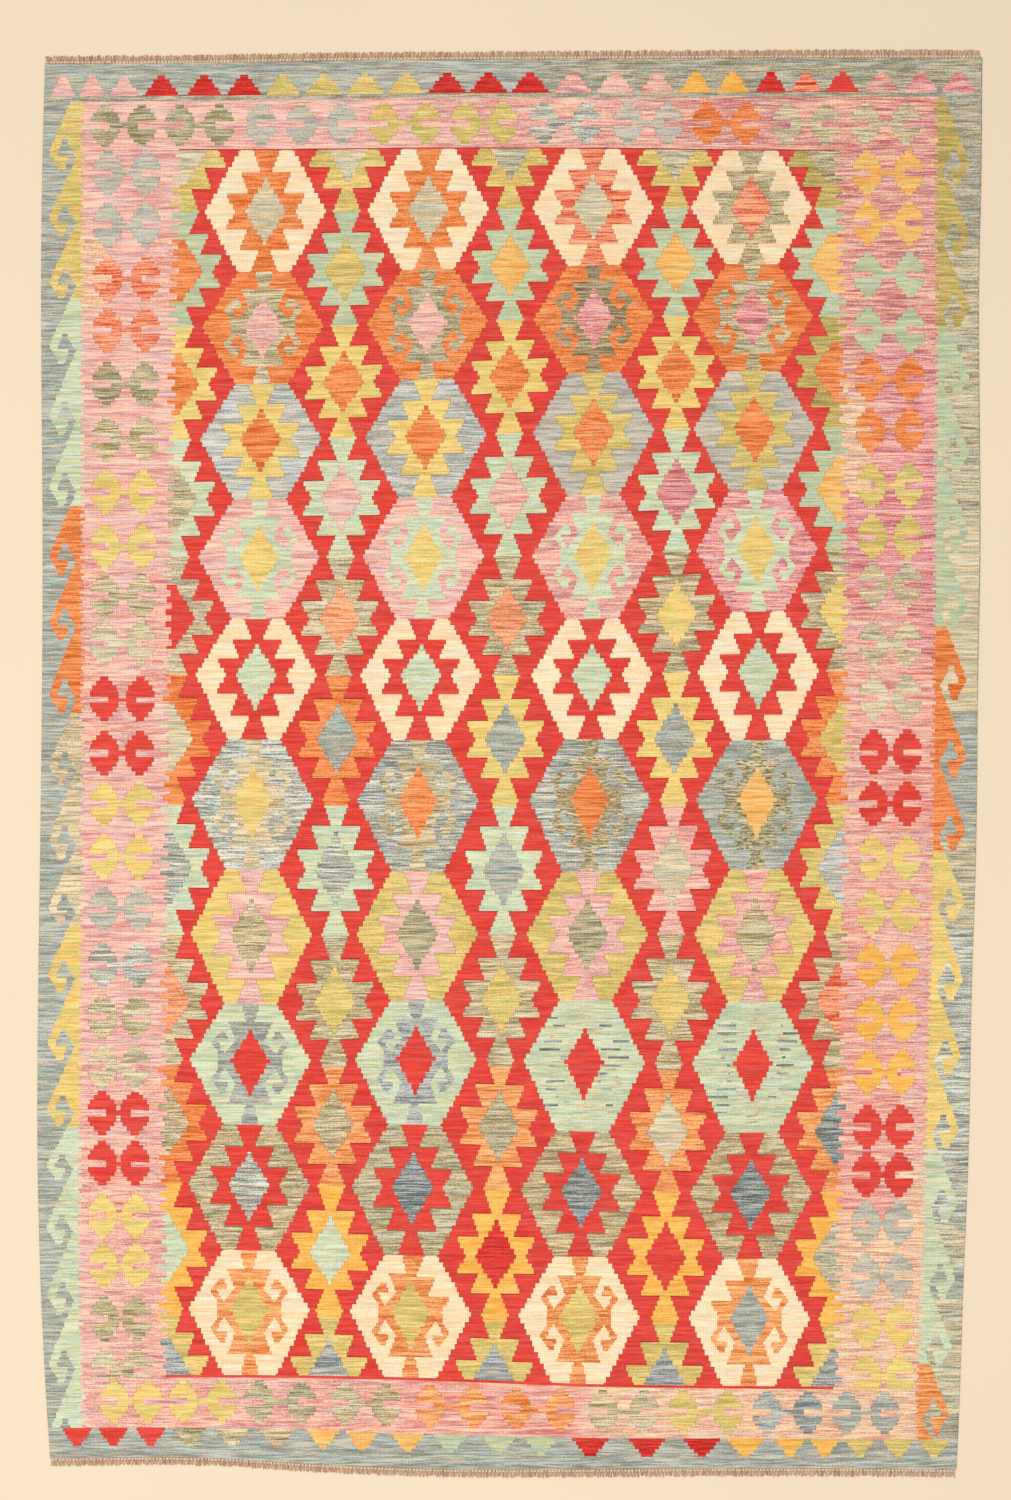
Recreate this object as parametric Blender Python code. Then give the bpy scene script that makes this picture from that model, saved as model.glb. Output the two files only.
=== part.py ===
"""A hand-woven kilim rug of about two metres by three, lying flat, with a short fringe at both ends.

The rug lies on z = 0 with its length along Y and its top end at +Y. Its origin is under the middle of its box.
The cloth is one slab whose edges wander as the hand-woven ones do. At each end a knotted heading, parted from
the cloth by a hair, carries the cut warp ends as locks that lie on the same surface as the cloth.
"""

import math
import random
from typing import NamedTuple

import bmesh
import bpy
from mathutils import Matrix

# Driving dimensions, in metres
HALF_WIDTH = 1.000
HALF_LENGTH = 1.500
CLOTH_THICKNESS = 0.0036
SELVEDGE_THICKNESS = 0.0028
SELVEDGE_ROLL = 0.005
SWELL = 0.0003

COLUMNS = 60
ROWS = 36

LOCKS_AT_AN_END = 150
HEADING_GAP = 0.0003
HEADING_DEPTH = 0.0050
HEADING_HEIGHT = 0.0032
LOCK_ROOT_SHARE = 0.74
LOCK_TIP_SHARE = 0.42
LOCK_LENGTH = 0.0150
LOCK_LENGTH_SPREAD = 0.0030
LOCK_LEAN = 0.0024
LOCK_ROOT_HEIGHT = 0.0026
LOCK_TIP_HEIGHT = 0.0014
LOCK_SEED = 7


class SideStation(NamedTuple):
    """Where the two long edges are, at one place along the rug."""

    along: float
    left: float
    right: float


class EndStation(NamedTuple):
    """Where the two short edges are, at one place across the rug."""

    across: float
    bottom: float
    top: float


# The rug narrows towards its bottom end, and both long edges bow a little.
SIDE_STATIONS = (
    SideStation(along=-1.500, left=-0.982, right=0.951),
    SideStation(along=-1.340, left=-0.992, right=0.958),
    SideStation(along=-1.100, left=-1.003, right=0.966),
    SideStation(along=-0.820, left=-1.009, right=0.977),
    SideStation(along=-0.460, left=-1.007, right=0.984),
    SideStation(along=-0.180, left=-1.003, right=0.993),
    SideStation(along=0.180, left=-0.999, right=0.997),
    SideStation(along=0.480, left=-0.998, right=1.002),
    SideStation(along=0.990, left=-1.001, right=0.999),
    SideStation(along=1.250, left=-0.999, right=1.004),
    SideStation(along=1.500, left=-0.993, right=1.006),
)

# The weaver's first and last rows: the bottom end hangs lower to the right, the top end rises to the right.
END_STATIONS = (
    EndStation(across=-1.000, bottom=-1.482, top=1.494),
    EndStation(across=-0.670, bottom=-1.480, top=1.496),
    EndStation(across=-0.385, bottom=-1.496, top=1.501),
    EndStation(across=-0.130, bottom=-1.505, top=1.503),
    EndStation(across=0.190, bottom=-1.505, top=1.505),
    EndStation(across=0.620, bottom=-1.503, top=1.507),
    EndStation(across=1.000, bottom=-1.506, top=1.507),
)


def clear_scene():
    """Removes every object that is there before the rug is made."""
    for thing in list(bpy.data.objects):
        bpy.data.objects.remove(thing, do_unlink=True)


def smooth_through(stations, place, column):
    """Reads one column of a table of stations, on a smooth curve through its rows (first column: the place)."""
    last = len(stations) - 1
    i = 0
    while i < last - 1 and place > stations[i + 1][0]:
        i += 1
    before, here = stations[max(i - 1, 0)], stations[i]
    there, after = stations[i + 1], stations[min(i + 2, last)]
    span = there[0] - here[0]
    share = min(max((place - here[0]) / span, 0.0), 1.0)
    slope_here = (there[column] - before[column]) / (there[0] - before[0]) * span
    slope_there = (after[column] - here[column]) / (after[0] - here[0]) * span
    square, cube = share**2, share**3
    return (
        (2 * cube - 3 * square + 1) * here[column]
        + (cube - 2 * square + share) * slope_here
        + (3 * square - 2 * cube) * there[column]
        + (cube - square) * slope_there
    )


def side_edges(along):
    """X of the left and of the right edge of the cloth, at a place along it."""
    return smooth_through(SIDE_STATIONS, along, 1), smooth_through(SIDE_STATIONS, along, 2)


def end_edges(across):
    """Y of the bottom and of the top edge of the cloth, at a place across it."""
    return smooth_through(END_STATIONS, across, 1), smooth_through(END_STATIONS, across, 2)


def cloth_point(across_share, along_share):
    """Lays a share across (0 left, 1 right) and a share along (0 bottom, 1 top) into the uneven outline."""
    left, right = side_edges((2 * along_share - 1) * HALF_LENGTH)
    x = left + (right - left) * across_share
    bottom, top = end_edges(x)
    return x, bottom + (top - bottom) * along_share


def shares(count, roll):
    """Shares of a side with a narrow first and last step, where the selvedge rolls down, and even steps between."""
    inner = [roll + (1 - 2 * roll) * i / (count - 2) for i in range(count - 1)]
    return [0.0, *inner, 1.0]


def cloth_height(x, y, at_rim):
    """Height of the cloth's face: slack and tight places in the weave swell it a little, and the rim is thinner."""
    if at_rim:
        return SELVEDGE_THICKNESS
    swell = math.sin(5.1 * x + 1.3 * y) * math.sin(3.7 * y - 1.9 * x + 0.6)
    return CLOTH_THICKNESS + SWELL * swell


def material(name, colour, roughness):
    """A plain finish with the part's own colour."""
    finish = bpy.data.materials.new(name)
    finish.use_nodes = True
    shader = finish.node_tree.nodes["Principled BSDF"]
    shader.inputs["Base Color"].default_value = (*colour, 1.0)
    shader.inputs["Roughness"].default_value = roughness
    shader.inputs["Metallic"].default_value = 0.0
    return finish


def add_object(name, shape, finish):
    """Makes an object of a finished bmesh and puts it into the scene."""
    bmesh.ops.recalc_face_normals(shape, faces=shape.faces)
    mesh = bpy.data.meshes.new(name)
    shape.to_mesh(mesh)
    shape.free()
    mesh.materials.append(finish)
    thing = bpy.data.objects.new(name, mesh)
    bpy.context.collection.objects.link(thing)
    return thing


def cloth():
    """The woven cloth: one slab with a gently uneven face, a thinner rim and a flat underside."""
    shape = bmesh.new()
    across = shares(COLUMNS, SELVEDGE_ROLL / (2 * HALF_WIDTH))
    along = shares(ROWS, SELVEDGE_ROLL / (2 * HALF_LENGTH))
    face = []
    for j, along_share in enumerate(along):
        row = []
        for i, across_share in enumerate(across):
            x, y = cloth_point(across_share, along_share)
            at_rim = i in (0, COLUMNS) or j in (0, ROWS)
            row.append(shape.verts.new((x, y, cloth_height(x, y, at_rim))))
        face.append(row)
    for low, high in zip(face, face[1:]):
        for i in range(COLUMNS):
            shape.faces.new((low[i], low[i + 1], high[i + 1], high[i]))
    right = [row[-1] for row in face[1:-1]]
    left = [row[0] for row in face[1:-1]]
    rim = [*face[0], *right, *reversed(face[-1]), *reversed(left)]
    foot = [shape.verts.new((corner.co.x, corner.co.y, 0.0)) for corner in rim]
    for i, corner in enumerate(rim):
        after = (i + 1) % len(rim)
        shape.faces.new((corner, foot[i], foot[after], rim[after]))
    shape.faces.new(list(reversed(foot)))
    return add_object("cloth", shape, material("woven_wool", (0.62, 0.20, 0.14), 0.92))


class Lock(NamedTuple):
    """One lock of cut warp ends: where its root begins and ends across the rug, and where its tip lies."""

    root_left: float
    root_right: float
    tip_left: float
    tip_right: float
    reach: float


def locks(chance, left, right):
    """Spreads the locks of one end between the cloth's corners, each with its own length and lean."""
    pitch = (right - left) / LOCKS_AT_AN_END
    for i in range(LOCKS_AT_AN_END):
        middle = left + (i + 0.5) * pitch
        lean = chance.uniform(-LOCK_LEAN, LOCK_LEAN)
        root = pitch * LOCK_ROOT_SHARE / 2
        tip = pitch * LOCK_TIP_SHARE / 2
        reach = LOCK_LENGTH + chance.uniform(-LOCK_LENGTH_SPREAD, LOCK_LENGTH_SPREAD)
        yield Lock(middle - root, middle + root, middle + lean - tip, middle + lean + tip, reach)


def fringe(name, end):
    """The knotted heading of one end (-1 bottom, +1 top) and its locks, fused into one solid."""
    chance = random.Random(LOCK_SEED + end)
    left, right = side_edges(end * HALF_LENGTH)
    column = 2 if end > 0 else 1
    shape = bmesh.new()

    def pillar(x, out, height):
        """A vertex on the floor and one above it, at a distance outside the cloth's edge."""
        y = smooth_through(END_STATIONS, x, column) + end * out
        return shape.verts.new((x, y, 0.0)), shape.verts.new((x, y, height))

    def block(corners):
        """The floor face and the top face over four pillars, given in order round them."""
        shape.faces.new([pair[0] for pair in corners])
        shape.faces.new([pair[1] for pair in corners])

    def wall(first, second):
        """The upright face between two pillars."""
        shape.faces.new((first[0], second[0], second[1], first[1]))

    back_before = pillar(left, HEADING_GAP, HEADING_HEIGHT)
    front_before = pillar(left, HEADING_GAP + HEADING_DEPTH, LOCK_ROOT_HEIGHT)
    wall(back_before, front_before)
    for lock in locks(chance, left, right):
        back = [pillar(x, HEADING_GAP, HEADING_HEIGHT) for x in (lock.root_left, lock.root_right)]
        front = [
            pillar(x, HEADING_GAP + HEADING_DEPTH, LOCK_ROOT_HEIGHT)
            for x in (lock.root_left, lock.root_right)
        ]
        tip = [
            pillar(x, HEADING_GAP + HEADING_DEPTH + lock.reach, LOCK_TIP_HEIGHT)
            for x in (lock.tip_left, lock.tip_right)
        ]
        block((back_before, back[0], front[0], front_before))
        block((back[0], back[1], front[1], front[0]))
        block((front[0], front[1], tip[1], tip[0]))
        wall(back_before, back[0])
        wall(front_before, front[0])
        wall(back[0], back[1])
        wall(front[0], tip[0])
        wall(tip[0], tip[1])
        wall(tip[1], front[1])
        back_before, front_before = back[1], front[1]
    back_end = pillar(right, HEADING_GAP, HEADING_HEIGHT)
    front_end = pillar(right, HEADING_GAP + HEADING_DEPTH, LOCK_ROOT_HEIGHT)
    block((back_before, back_end, front_end, front_before))
    wall(back_before, back_end)
    wall(front_before, front_end)
    wall(back_end, front_end)
    return add_object(name, shape, material(f"{name}_cotton", (0.60, 0.43, 0.30), 0.95))


def centre(pieces):
    """Slides the pieces together until their common box stands over the origin."""
    corners = [corner.co for piece in pieces for corner in piece.data.vertices]
    middle = [(min(c[k] for c in corners) + max(c[k] for c in corners)) / 2 for k in (0, 1)]
    for piece in pieces:
        piece.data.transform(Matrix.Translation((-middle[0], -middle[1], 0.0)))


def build_rug():
    """Builds the rug's three pieces."""
    clear_scene()
    centre([cloth(), fringe("fringe_top", 1), fringe("fringe_bottom", -1)])


build_rug()
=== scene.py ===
"""Dresses the kilim rug: its slit-woven cloth with the whole pattern, and the knotted fringe at both ends.

The cloth is one thin closed sheet. Its mesh follows the lines that the weaver followed, so that every
hexagon, star, diamond, hook and pyramid has its own faces. Each face carries its place inside its motif, in
millimetres, and the yarns of that motif; the finishes draw the stepped outlines from those.
"""

import logging
import math
import random
from bisect import bisect_right
from collections.abc import Callable
from dataclasses import dataclass, field
from enum import Enum
from typing import NamedTuple

import bpy
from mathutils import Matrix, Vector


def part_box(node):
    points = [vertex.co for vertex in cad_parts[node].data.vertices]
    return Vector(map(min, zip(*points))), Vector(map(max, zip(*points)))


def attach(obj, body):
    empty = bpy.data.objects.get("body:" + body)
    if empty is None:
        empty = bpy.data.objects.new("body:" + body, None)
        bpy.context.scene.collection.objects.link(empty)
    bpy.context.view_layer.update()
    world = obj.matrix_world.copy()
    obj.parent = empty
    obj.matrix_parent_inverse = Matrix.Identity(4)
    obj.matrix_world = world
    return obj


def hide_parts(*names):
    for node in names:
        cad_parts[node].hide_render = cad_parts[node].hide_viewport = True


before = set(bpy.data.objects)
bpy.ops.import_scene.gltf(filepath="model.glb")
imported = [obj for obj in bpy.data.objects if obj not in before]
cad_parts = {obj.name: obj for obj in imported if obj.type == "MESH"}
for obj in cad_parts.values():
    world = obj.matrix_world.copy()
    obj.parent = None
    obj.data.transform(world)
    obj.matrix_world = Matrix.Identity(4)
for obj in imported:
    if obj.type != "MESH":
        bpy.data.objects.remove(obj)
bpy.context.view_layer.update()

LOG = logging.getLogger("rug")
MM = 0.001


# ---------------------------------------------------------------------------------------------- the yarns


class Shades(NamedTuple):
    """One dye lot as it looks: its usual colour, its dark picks and its light picks, from 0 to 255."""

    usual: tuple[int, int, int]
    dark: tuple[int, int, int]
    light: tuple[int, int, int]


class Yarn(Enum):
    """The dyed wools of the rug."""

    RED = Shades((224, 76, 67), (216, 69, 60), (230, 85, 75))
    DEEP_RED = Shades((211, 60, 55), (196, 50, 46), (222, 72, 64))
    MAROON = Shades((188, 56, 52), (168, 46, 44), (204, 66, 60))
    CREAM = Shades((250, 222, 182), (246, 212, 170), (253, 231, 193))
    ORANGE = Shades((238, 138, 81), (219, 116, 62), (252, 157, 101))
    PALE_ORANGE = Shades((240, 154, 97), (220, 128, 72), (252, 178, 118))
    CORAL = Shades((240, 138, 103), (222, 94, 70), (253, 168, 130))
    SOFT_CORAL = Shades((243, 160, 119), (222, 134, 94), (254, 182, 138))
    GOLD = Shades((248, 184, 91), (240, 170, 77), (253, 195, 103))
    WARM_GOLD = Shades((245, 187, 108), (236, 170, 92), (252, 200, 124))
    YELLOW = Shades((236, 204, 124), (221, 190, 112), (247, 215, 135))
    YELLOW_GREEN = Shades((220, 193, 118), (203, 178, 105), (237, 207, 132))
    OLIVE_GOLD = Shades((191, 168, 101), (170, 152, 90), (214, 186, 115))
    MINT = Shades((208, 214, 177), (192, 198, 163), (222, 225, 189))
    DEEP_MINT = Shades((193, 201, 163), (181, 190, 152), (208, 211, 173))
    DARK_KHAKI = Shades((176, 168, 145), (150, 145, 124), (202, 190, 164))
    SAGE = Shades((197, 178, 140), (165, 147, 110), (222, 203, 165))
    DEEP_SAGE = Shades((179, 166, 131), (151, 140, 105), (205, 190, 155))
    PALE_SAGE = Shades((205, 186, 151), (178, 161, 132), (229, 208, 169))
    SLATE = Shades((175, 175, 161), (153, 154, 142), (195, 194, 177))
    SLATE_MIX = Shades((184, 181, 165), (150, 148, 135), (214, 211, 192))
    PALE_SLATE = Shades((198, 190, 173), (176, 170, 155), (214, 202, 181))
    OLIVE_GREY = Shades((192, 169, 130), (164, 144, 108), (218, 196, 156))
    BLUE = Shades((143, 147, 142), (112, 117, 113), (172, 176, 170))
    SOFT_BLUE = Shades((170, 171, 163), (140, 142, 137), (193, 193, 183))
    LAVENDER = Shades((194, 191, 178), (168, 168, 159), (216, 210, 196))
    PALE_MINT = Shades((213, 197, 162), (193, 179, 146), (232, 214, 178))
    KHAKI = Shades((195, 183, 154), (160, 155, 131), (220, 204, 170))
    PINK = Shades((237, 177, 161), (217, 149, 140), (250, 198, 177))
    ROSE = Shades((238, 184, 169), (220, 159, 151), (250, 201, 183))
    MAGENTA = Shades((228, 152, 148), (204, 122, 122), (250, 179, 170))
    UMBER = Shades((170, 150, 115), (142, 122, 90), (196, 176, 140))
    CLAY = Shades((226, 160, 145), (206, 130, 128), (243, 189, 166))
    SALMON = Shades((237, 168, 152), (220, 138, 130), (251, 194, 172))
    PEACH = Shades((240, 193, 159), (221, 166, 140), (252, 212, 177))

    @property
    def number(self) -> float:
        """The middle of the yarn's place on the shelf, which the finishes look its colours up by."""
        return list(Yarn).index(self) + 0.5

    def lot(self, *motif: int) -> float:
        """The yarn's number for one motif, moved a little within its place by the motif's dye lot."""
        return self.number + LOT_SPREAD * random.Random(str(motif)).uniform(-1.0, 1.0)


SHELF_LENGTH = 32
LOT_SPREAD = 0.09
SHADE_REACH = 1.8
WOOL_DEPTH = 0.915
VEIL = 0.006


def linear(level: float) -> float:
    """Turns a colour level as it looks into the linear value of a wool that returns it.

    Args:
        level: The level, from 0 to 255.

    Returns:
        The linear value.
    """
    share = level / 255.0
    lit = share / 12.92 if share <= 0.04045 else ((share + 0.055) / 1.055) ** 2.4
    return max(lit * WOOL_DEPTH - VEIL, 0.0)


def farther(shade: tuple, usual: tuple, reach: float) -> tuple:
    """Moves a shade away from the usual colour, to that many times its distance."""
    return tuple(min(max(mid + (end - mid) * reach, 0.0), 255.0) for mid, end in zip(usual, shade))


def dye(colour: tuple[float, float, float]) -> tuple[float, float, float, float]:
    """Makes a shader colour, with its alpha, of a colour as it looks, from 0 to 255."""
    return (linear(colour[0]), linear(colour[1]), linear(colour[2]), 1.0)


# ------------------------------------------------------------------------------- the outline, as it is cut


HALF_LENGTH = 1.500
CLOTH_THICKNESS = 0.0036
SWELL = 0.0003


class SideStation(NamedTuple):
    """Where the two long edges are, at one place along the rug, in metres."""

    along: float
    left: float
    right: float


class EndStation(NamedTuple):
    """Where the two short edges are, at one place across the rug, in metres."""

    across: float
    bottom: float
    top: float


SIDE_STATIONS = (
    SideStation(along=-1.500, left=-0.982, right=0.951),
    SideStation(along=-1.340, left=-0.992, right=0.958),
    SideStation(along=-1.100, left=-1.003, right=0.966),
    SideStation(along=-0.820, left=-1.009, right=0.977),
    SideStation(along=-0.460, left=-1.007, right=0.984),
    SideStation(along=-0.180, left=-1.003, right=0.993),
    SideStation(along=0.180, left=-0.999, right=0.997),
    SideStation(along=0.480, left=-0.998, right=1.002),
    SideStation(along=0.990, left=-1.001, right=0.999),
    SideStation(along=1.250, left=-0.999, right=1.004),
    SideStation(along=1.500, left=-0.993, right=1.006),
)

END_STATIONS = (
    EndStation(across=-1.000, bottom=-1.482, top=1.494),
    EndStation(across=-0.670, bottom=-1.480, top=1.496),
    EndStation(across=-0.385, bottom=-1.496, top=1.501),
    EndStation(across=-0.130, bottom=-1.505, top=1.503),
    EndStation(across=0.190, bottom=-1.505, top=1.505),
    EndStation(across=0.620, bottom=-1.503, top=1.507),
    EndStation(across=1.000, bottom=-1.506, top=1.507),
)


def smooth_through(stations: tuple, place: float, column: int) -> float:
    """Reads one column of a table of stations, on a smooth curve through its rows.

    Args:
        stations: Rows whose first column is the place, in rising order.
        place: Where to read.
        column: Which column to read.

    Returns:
        The value there.
    """
    last = len(stations) - 1
    i = 0
    while i < last - 1 and place > stations[i + 1][0]:
        i += 1
    before, here = stations[max(i - 1, 0)], stations[i]
    there, after = stations[i + 1], stations[min(i + 2, last)]
    span = there[0] - here[0]
    share = min(max((place - here[0]) / span, 0.0), 1.0)
    slope_here = (there[column] - before[column]) / (there[0] - before[0]) * span
    slope_there = (after[column] - here[column]) / (after[0] - here[0]) * span
    square, cube = share**2, share**3
    return (
        (2 * cube - 3 * square + 1) * here[column]
        + (cube - 2 * square + share) * slope_here
        + (3 * square - 2 * cube) * there[column]
        + (cube - square) * slope_there
    )


# ---------------------------------------------------------------------- the lines that the weaver followed


class RowLine(NamedTuple):
    """A line across the rug: its height at the edges and at the four columns of hexagons, in millimetres."""

    name: str
    left: int
    first: int
    second: int
    third: int
    fourth: int
    right: int


# Places across the rug at which a row line is given, in millimetres.
ROW_PLACES = (-990, -519, -174, 175, 512, 980)

ROW_LINES = (
    RowLine("bottom_pyramids", -1415, -1416, -1428, -1437, -1438, -1441),
    RowLine("field_10", -1303, -1303, -1309, -1322, -1326, -1330),
    RowLine("field_9", -1032, -1038, -1049, -1051, -1055, -1053),
    RowLine("field_8", -753, -770, -769, -784, -786, -780),
    RowLine("field_7", -499, -512, -503, -504, -507, -499),
    RowLine("field_6", -218, -225, -229, -229, -225, -218),
    RowLine("field_5", 55, 52, 51, 53, 51, 57),
    RowLine("field_4", 313, 309, 309, 309, 325, 326),
    RowLine("field_3", 564, 565, 569, 574, 584, 584),
    RowLine("field_2", 810, 810, 820, 834, 838, 835),
    RowLine("field_1", 1049, 1049, 1055, 1064, 1066, 1064),
    RowLine("field_0", 1310, 1310, 1313, 1313, 1309, 1309),
    RowLine("top_pink", 1411, 1416, 1420, 1420, 1422, 1422),
    RowLine("top_pyramids", 1423, 1426, 1430, 1431, 1432, 1432),
)


class ColumnLine(NamedTuple):
    """A line along the rug: its place across, at eight places from the top end down, in millimetres."""

    name: str
    top: int
    high: int
    upper: int
    middle: int
    lower: int
    low: int
    lowest: int
    bottom: int


# Places along the rug at which a column line is given, from the top end down, in millimetres.
COLUMN_PLACES = (1341, 887, 269, -30, -392, -733, -1032, -1373)

COLUMN_LINES = (
    ColumnLine("hooks_left", -918, -918, -918, -918, -920, -923, -924, -917),
    ColumnLine("diamond_left_outer", -858, -860, -866, -866, -869, -871, -869, -862),
    ColumnLine("diamond_left_inner", -777, -779, -788, -791, -794, -801, -798, -794),
    ColumnLine("field_left", -700, -711, -722, -726, -728, -732, -732, -730),
    ColumnLine("star_left", -686, -706, -717, -722, -726, -729, -729, -724),
    ColumnLine("hexagon_1", -519, -529, -540, -549, -553, -556, -558, -555),
    ColumnLine("star_1", -346, -355, -365, -371, -374, -378, -385, -388),
    ColumnLine("hexagon_2", -174, -178, -189, -197, -199, -204, -212, -214),
    ColumnLine("star_2", -1, -1, -8, -12, -17, -24, -31, -36),
    ColumnLine("hexagon_3", 175, 178, 174, 170, 163, 155, 149, 142),
    ColumnLine("star_3", 351, 353, 354, 349, 342, 336, 331, 327),
    ColumnLine("hexagon_4", 512, 517, 528, 526, 521, 515, 511, 507),
    ColumnLine("star_right", 670, 689, 702, 700, 698, 693, 689, 683),
    ColumnLine("field_right", 688, 698, 705, 705, 700, 696, 691, 688),
    ColumnLine("diamond_right_inner", 759, 764, 774, 774, 768, 761, 757, 761),
    ColumnLine("diamond_right_outer", 848, 852, 846, 846, 842, 831, 827, 832),
    ColumnLine("hooks_right", 913, 913, 908, 905, 901, 891, 885, 869),
)


# Place across of the cloth's corners, in millimetres, and how often a real place is drawn nearer its lines.
CORNER_ACROSS = 1000.0
SETTLING_ROUNDS = 5


def moved(place: float, lines: list[float], counterpart: Callable[[int], float]) -> float:
    """Moves a place between two lines to the same share between their counterparts.

    Args:
        place: The place.
        lines: The lines, in rising order.
        counterpart: Finds the counterpart of a line by its index.

    Returns:
        The place between the counterparts.
    """
    i = min(max(bisect_right(lines, place) - 1, 0), len(lines) - 2)
    share = (place - lines[i]) / (lines[i + 1] - lines[i])
    first = counterpart(i)
    return first + (counterpart(i + 1) - first) * share


class Chart:
    """The weaver's chart: it lays even lines across and along the rug onto the uneven lines of the real one.

    A chart place is the usual place of a line, in millimetres; a real place is where the line runs there.
    """

    def __init__(self) -> None:
        """Collects the lines, edges included, in rising order, with the usual place of each by its name."""
        self.rows = {line.name: tuple(zip(ROW_PLACES, line[1:])) for line in ROW_LINES}
        self.columns = {line.name: tuple(zip(COLUMN_PLACES, line[1:]))[::-1] for line in COLUMN_LINES}
        self.row_names = ["bottom", *self.rows, "top"]
        self.column_names = ["left", *self.columns, "right"]
        self.row_places = [self.row(name, 0.0) for name in self.row_names]
        self.column_places = [self.column(name, 0.0) for name in self.column_names]
        places = self.row_places + self.column_places
        self.usual = dict(zip(self.row_names + self.column_names, places))

    def row(self, name: str, x: float) -> float:
        """Height of a row line, or of the bottom or top edge.

        Args:
            name: The line.
            x: Real place across.

        Returns:
            The real place along.
        """
        if name in self.rows:
            return smooth_through(self.rows[name], x, 1)
        return smooth_through(END_STATIONS, x * MM, 1 if name == "bottom" else 2) / MM

    def column(self, name: str, y: float) -> float:
        """Place across of a column line, or of the left or right edge.

        Args:
            name: The line.
            y: Real place along.

        Returns:
            The real place across.
        """
        if name in self.columns:
            return smooth_through(self.columns[name], y, 1)
        corner = -CORNER_ACROSS if name == "left" else CORNER_ACROSS
        bottom, top = self.row("bottom", corner), self.row("top", corner)
        along = (2 * (y - bottom) / (top - bottom) - 1) * HALF_LENGTH
        return smooth_through(SIDE_STATIONS, along, 1 if name == "left" else 2) / MM

    def real(self, u: float, v: float) -> tuple[float, float]:
        """Where a chart point lies on the rug.

        Args:
            u: Chart place across.
            v: Chart place along.

        Returns:
            The real place across and along.
        """
        x, y = u, v
        for _ in range(SETTLING_ROUNDS):
            x = moved(u, self.column_places, lambda i: self.column(self.column_names[i], y))
            y = moved(v, self.row_places, lambda j: self.row(self.row_names[j], x))
        return x, y

    def chart_across(self, x: float, y: float) -> float:
        """Chart place across of a real place."""
        lines = [self.column(name, y) for name in self.column_names]
        return moved(x, lines, self.column_places.__getitem__)

    def chart_along(self, y: float, x: float) -> float:
        """Chart place along of a real height, at a real place across."""
        lines = [self.row(name, x) for name in self.row_names]
        return moved(y, lines, self.row_places.__getitem__)


# -------------------------------------------------------------------------------- which yarn goes where


class Figure(Enum):
    """What a hexagon holds."""

    STAR = 0.0
    HOOKED = 1.0
    DASHED = 2.0
    WINGED = 3.0
    RAGGED = 4.0


class HexagonRow(NamedTuple):
    """One row of four hexagons: how far their waist is above the middle, in millimetres, and their yarns."""

    lift: int
    figure: Figure
    ground: tuple[Yarn, ...]
    inner: tuple[Yarn, ...]
    eye: tuple[Yarn, ...]


class StarRow(NamedTuple):
    """The yarns of a row of stars: the half star at the left, three whole ones and the half at the right."""

    body: tuple[Yarn, ...]
    eye: tuple[Yarn, ...]


HEXAGON_COLUMNS = ("hexagon_1", "hexagon_2", "hexagon_3", "hexagon_4")
STAR_COLUMNS = ("star_left", "star_1", "star_2", "star_3", "star_right")


def wools(names: str, count: int) -> tuple[Yarn, ...]:
    """Looks yarns up by their names; a name that stands alone fills the row."""
    found = tuple(Yarn[name] for name in names.split())
    return found * count if len(found) == 1 else found


def hexagons(lift: int, figure: Figure, *names: str) -> HexagonRow:
    """A row of hexagons, with the names of its ground, inner and eye yarns."""
    return HexagonRow(lift, figure, *(wools(each, len(HEXAGON_COLUMNS)) for each in names))


def stars(*names: str) -> StarRow:
    """A row of stars, with the names of its body and eye yarns."""
    return StarRow(*(wools(each, len(STAR_COLUMNS)) for each in names))


# From the top end down.
HEXAGON_ROWS = (
    hexagons(-2, Figure.STAR, "CREAM", "ORANGE ORANGE CORAL SAGE", "PALE_MINT PALE_MINT PALE_MINT CORAL"),
    hexagons(3, Figure.HOOKED, "ORANGE", "SAGE DEEP_SAGE UMBER SAGE", "ROSE ROSE MAGENTA MAGENTA"),
    hexagons(
        5,
        Figure.STAR,
        "LAVENDER LAVENDER PALE_SLATE PALE_SLATE",
        "YELLOW YELLOW YELLOW_GREEN YELLOW_GREEN",
        "ORANGE",
    ),
    hexagons(4, Figure.HOOKED, "ROSE ROSE PINK MAGENTA", "MINT", "YELLOW"),
    hexagons(9, Figure.STAR, "CREAM", "RED", "MINT"),
    hexagons(
        11,
        Figure.HOOKED,
        "SLATE_MIX SLATE_MIX SLATE_MIX SLATE",
        "PALE_SAGE SAGE OLIVE_GREY DEEP_SAGE",
        "YELLOW ORANGE ORANGE WARM_GOLD",
    ),
    hexagons(
        4,
        Figure.STAR,
        "YELLOW YELLOW_GREEN YELLOW_GREEN YELLOW_GREEN",
        "ROSE ROSE ROSE PINK",
        "SAGE DEEP_SAGE DEEP_SAGE SAGE",
    ),
    hexagons(8, Figure.HOOKED, "MINT", "SLATE SOFT_BLUE PALE_MINT PALE_MINT", "RED"),
    hexagons(6, Figure.STAR, "SAGE DEEP_SAGE OLIVE_GREY OLIVE_GREY", "RED", "SLATE_MIX BLUE BLUE BLUE"),
    hexagons(8, Figure.HOOKED, "CREAM", "PALE_ORANGE", "YELLOW_GREEN YELLOW_GREEN YELLOW_GREEN SLATE"),
)

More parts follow.
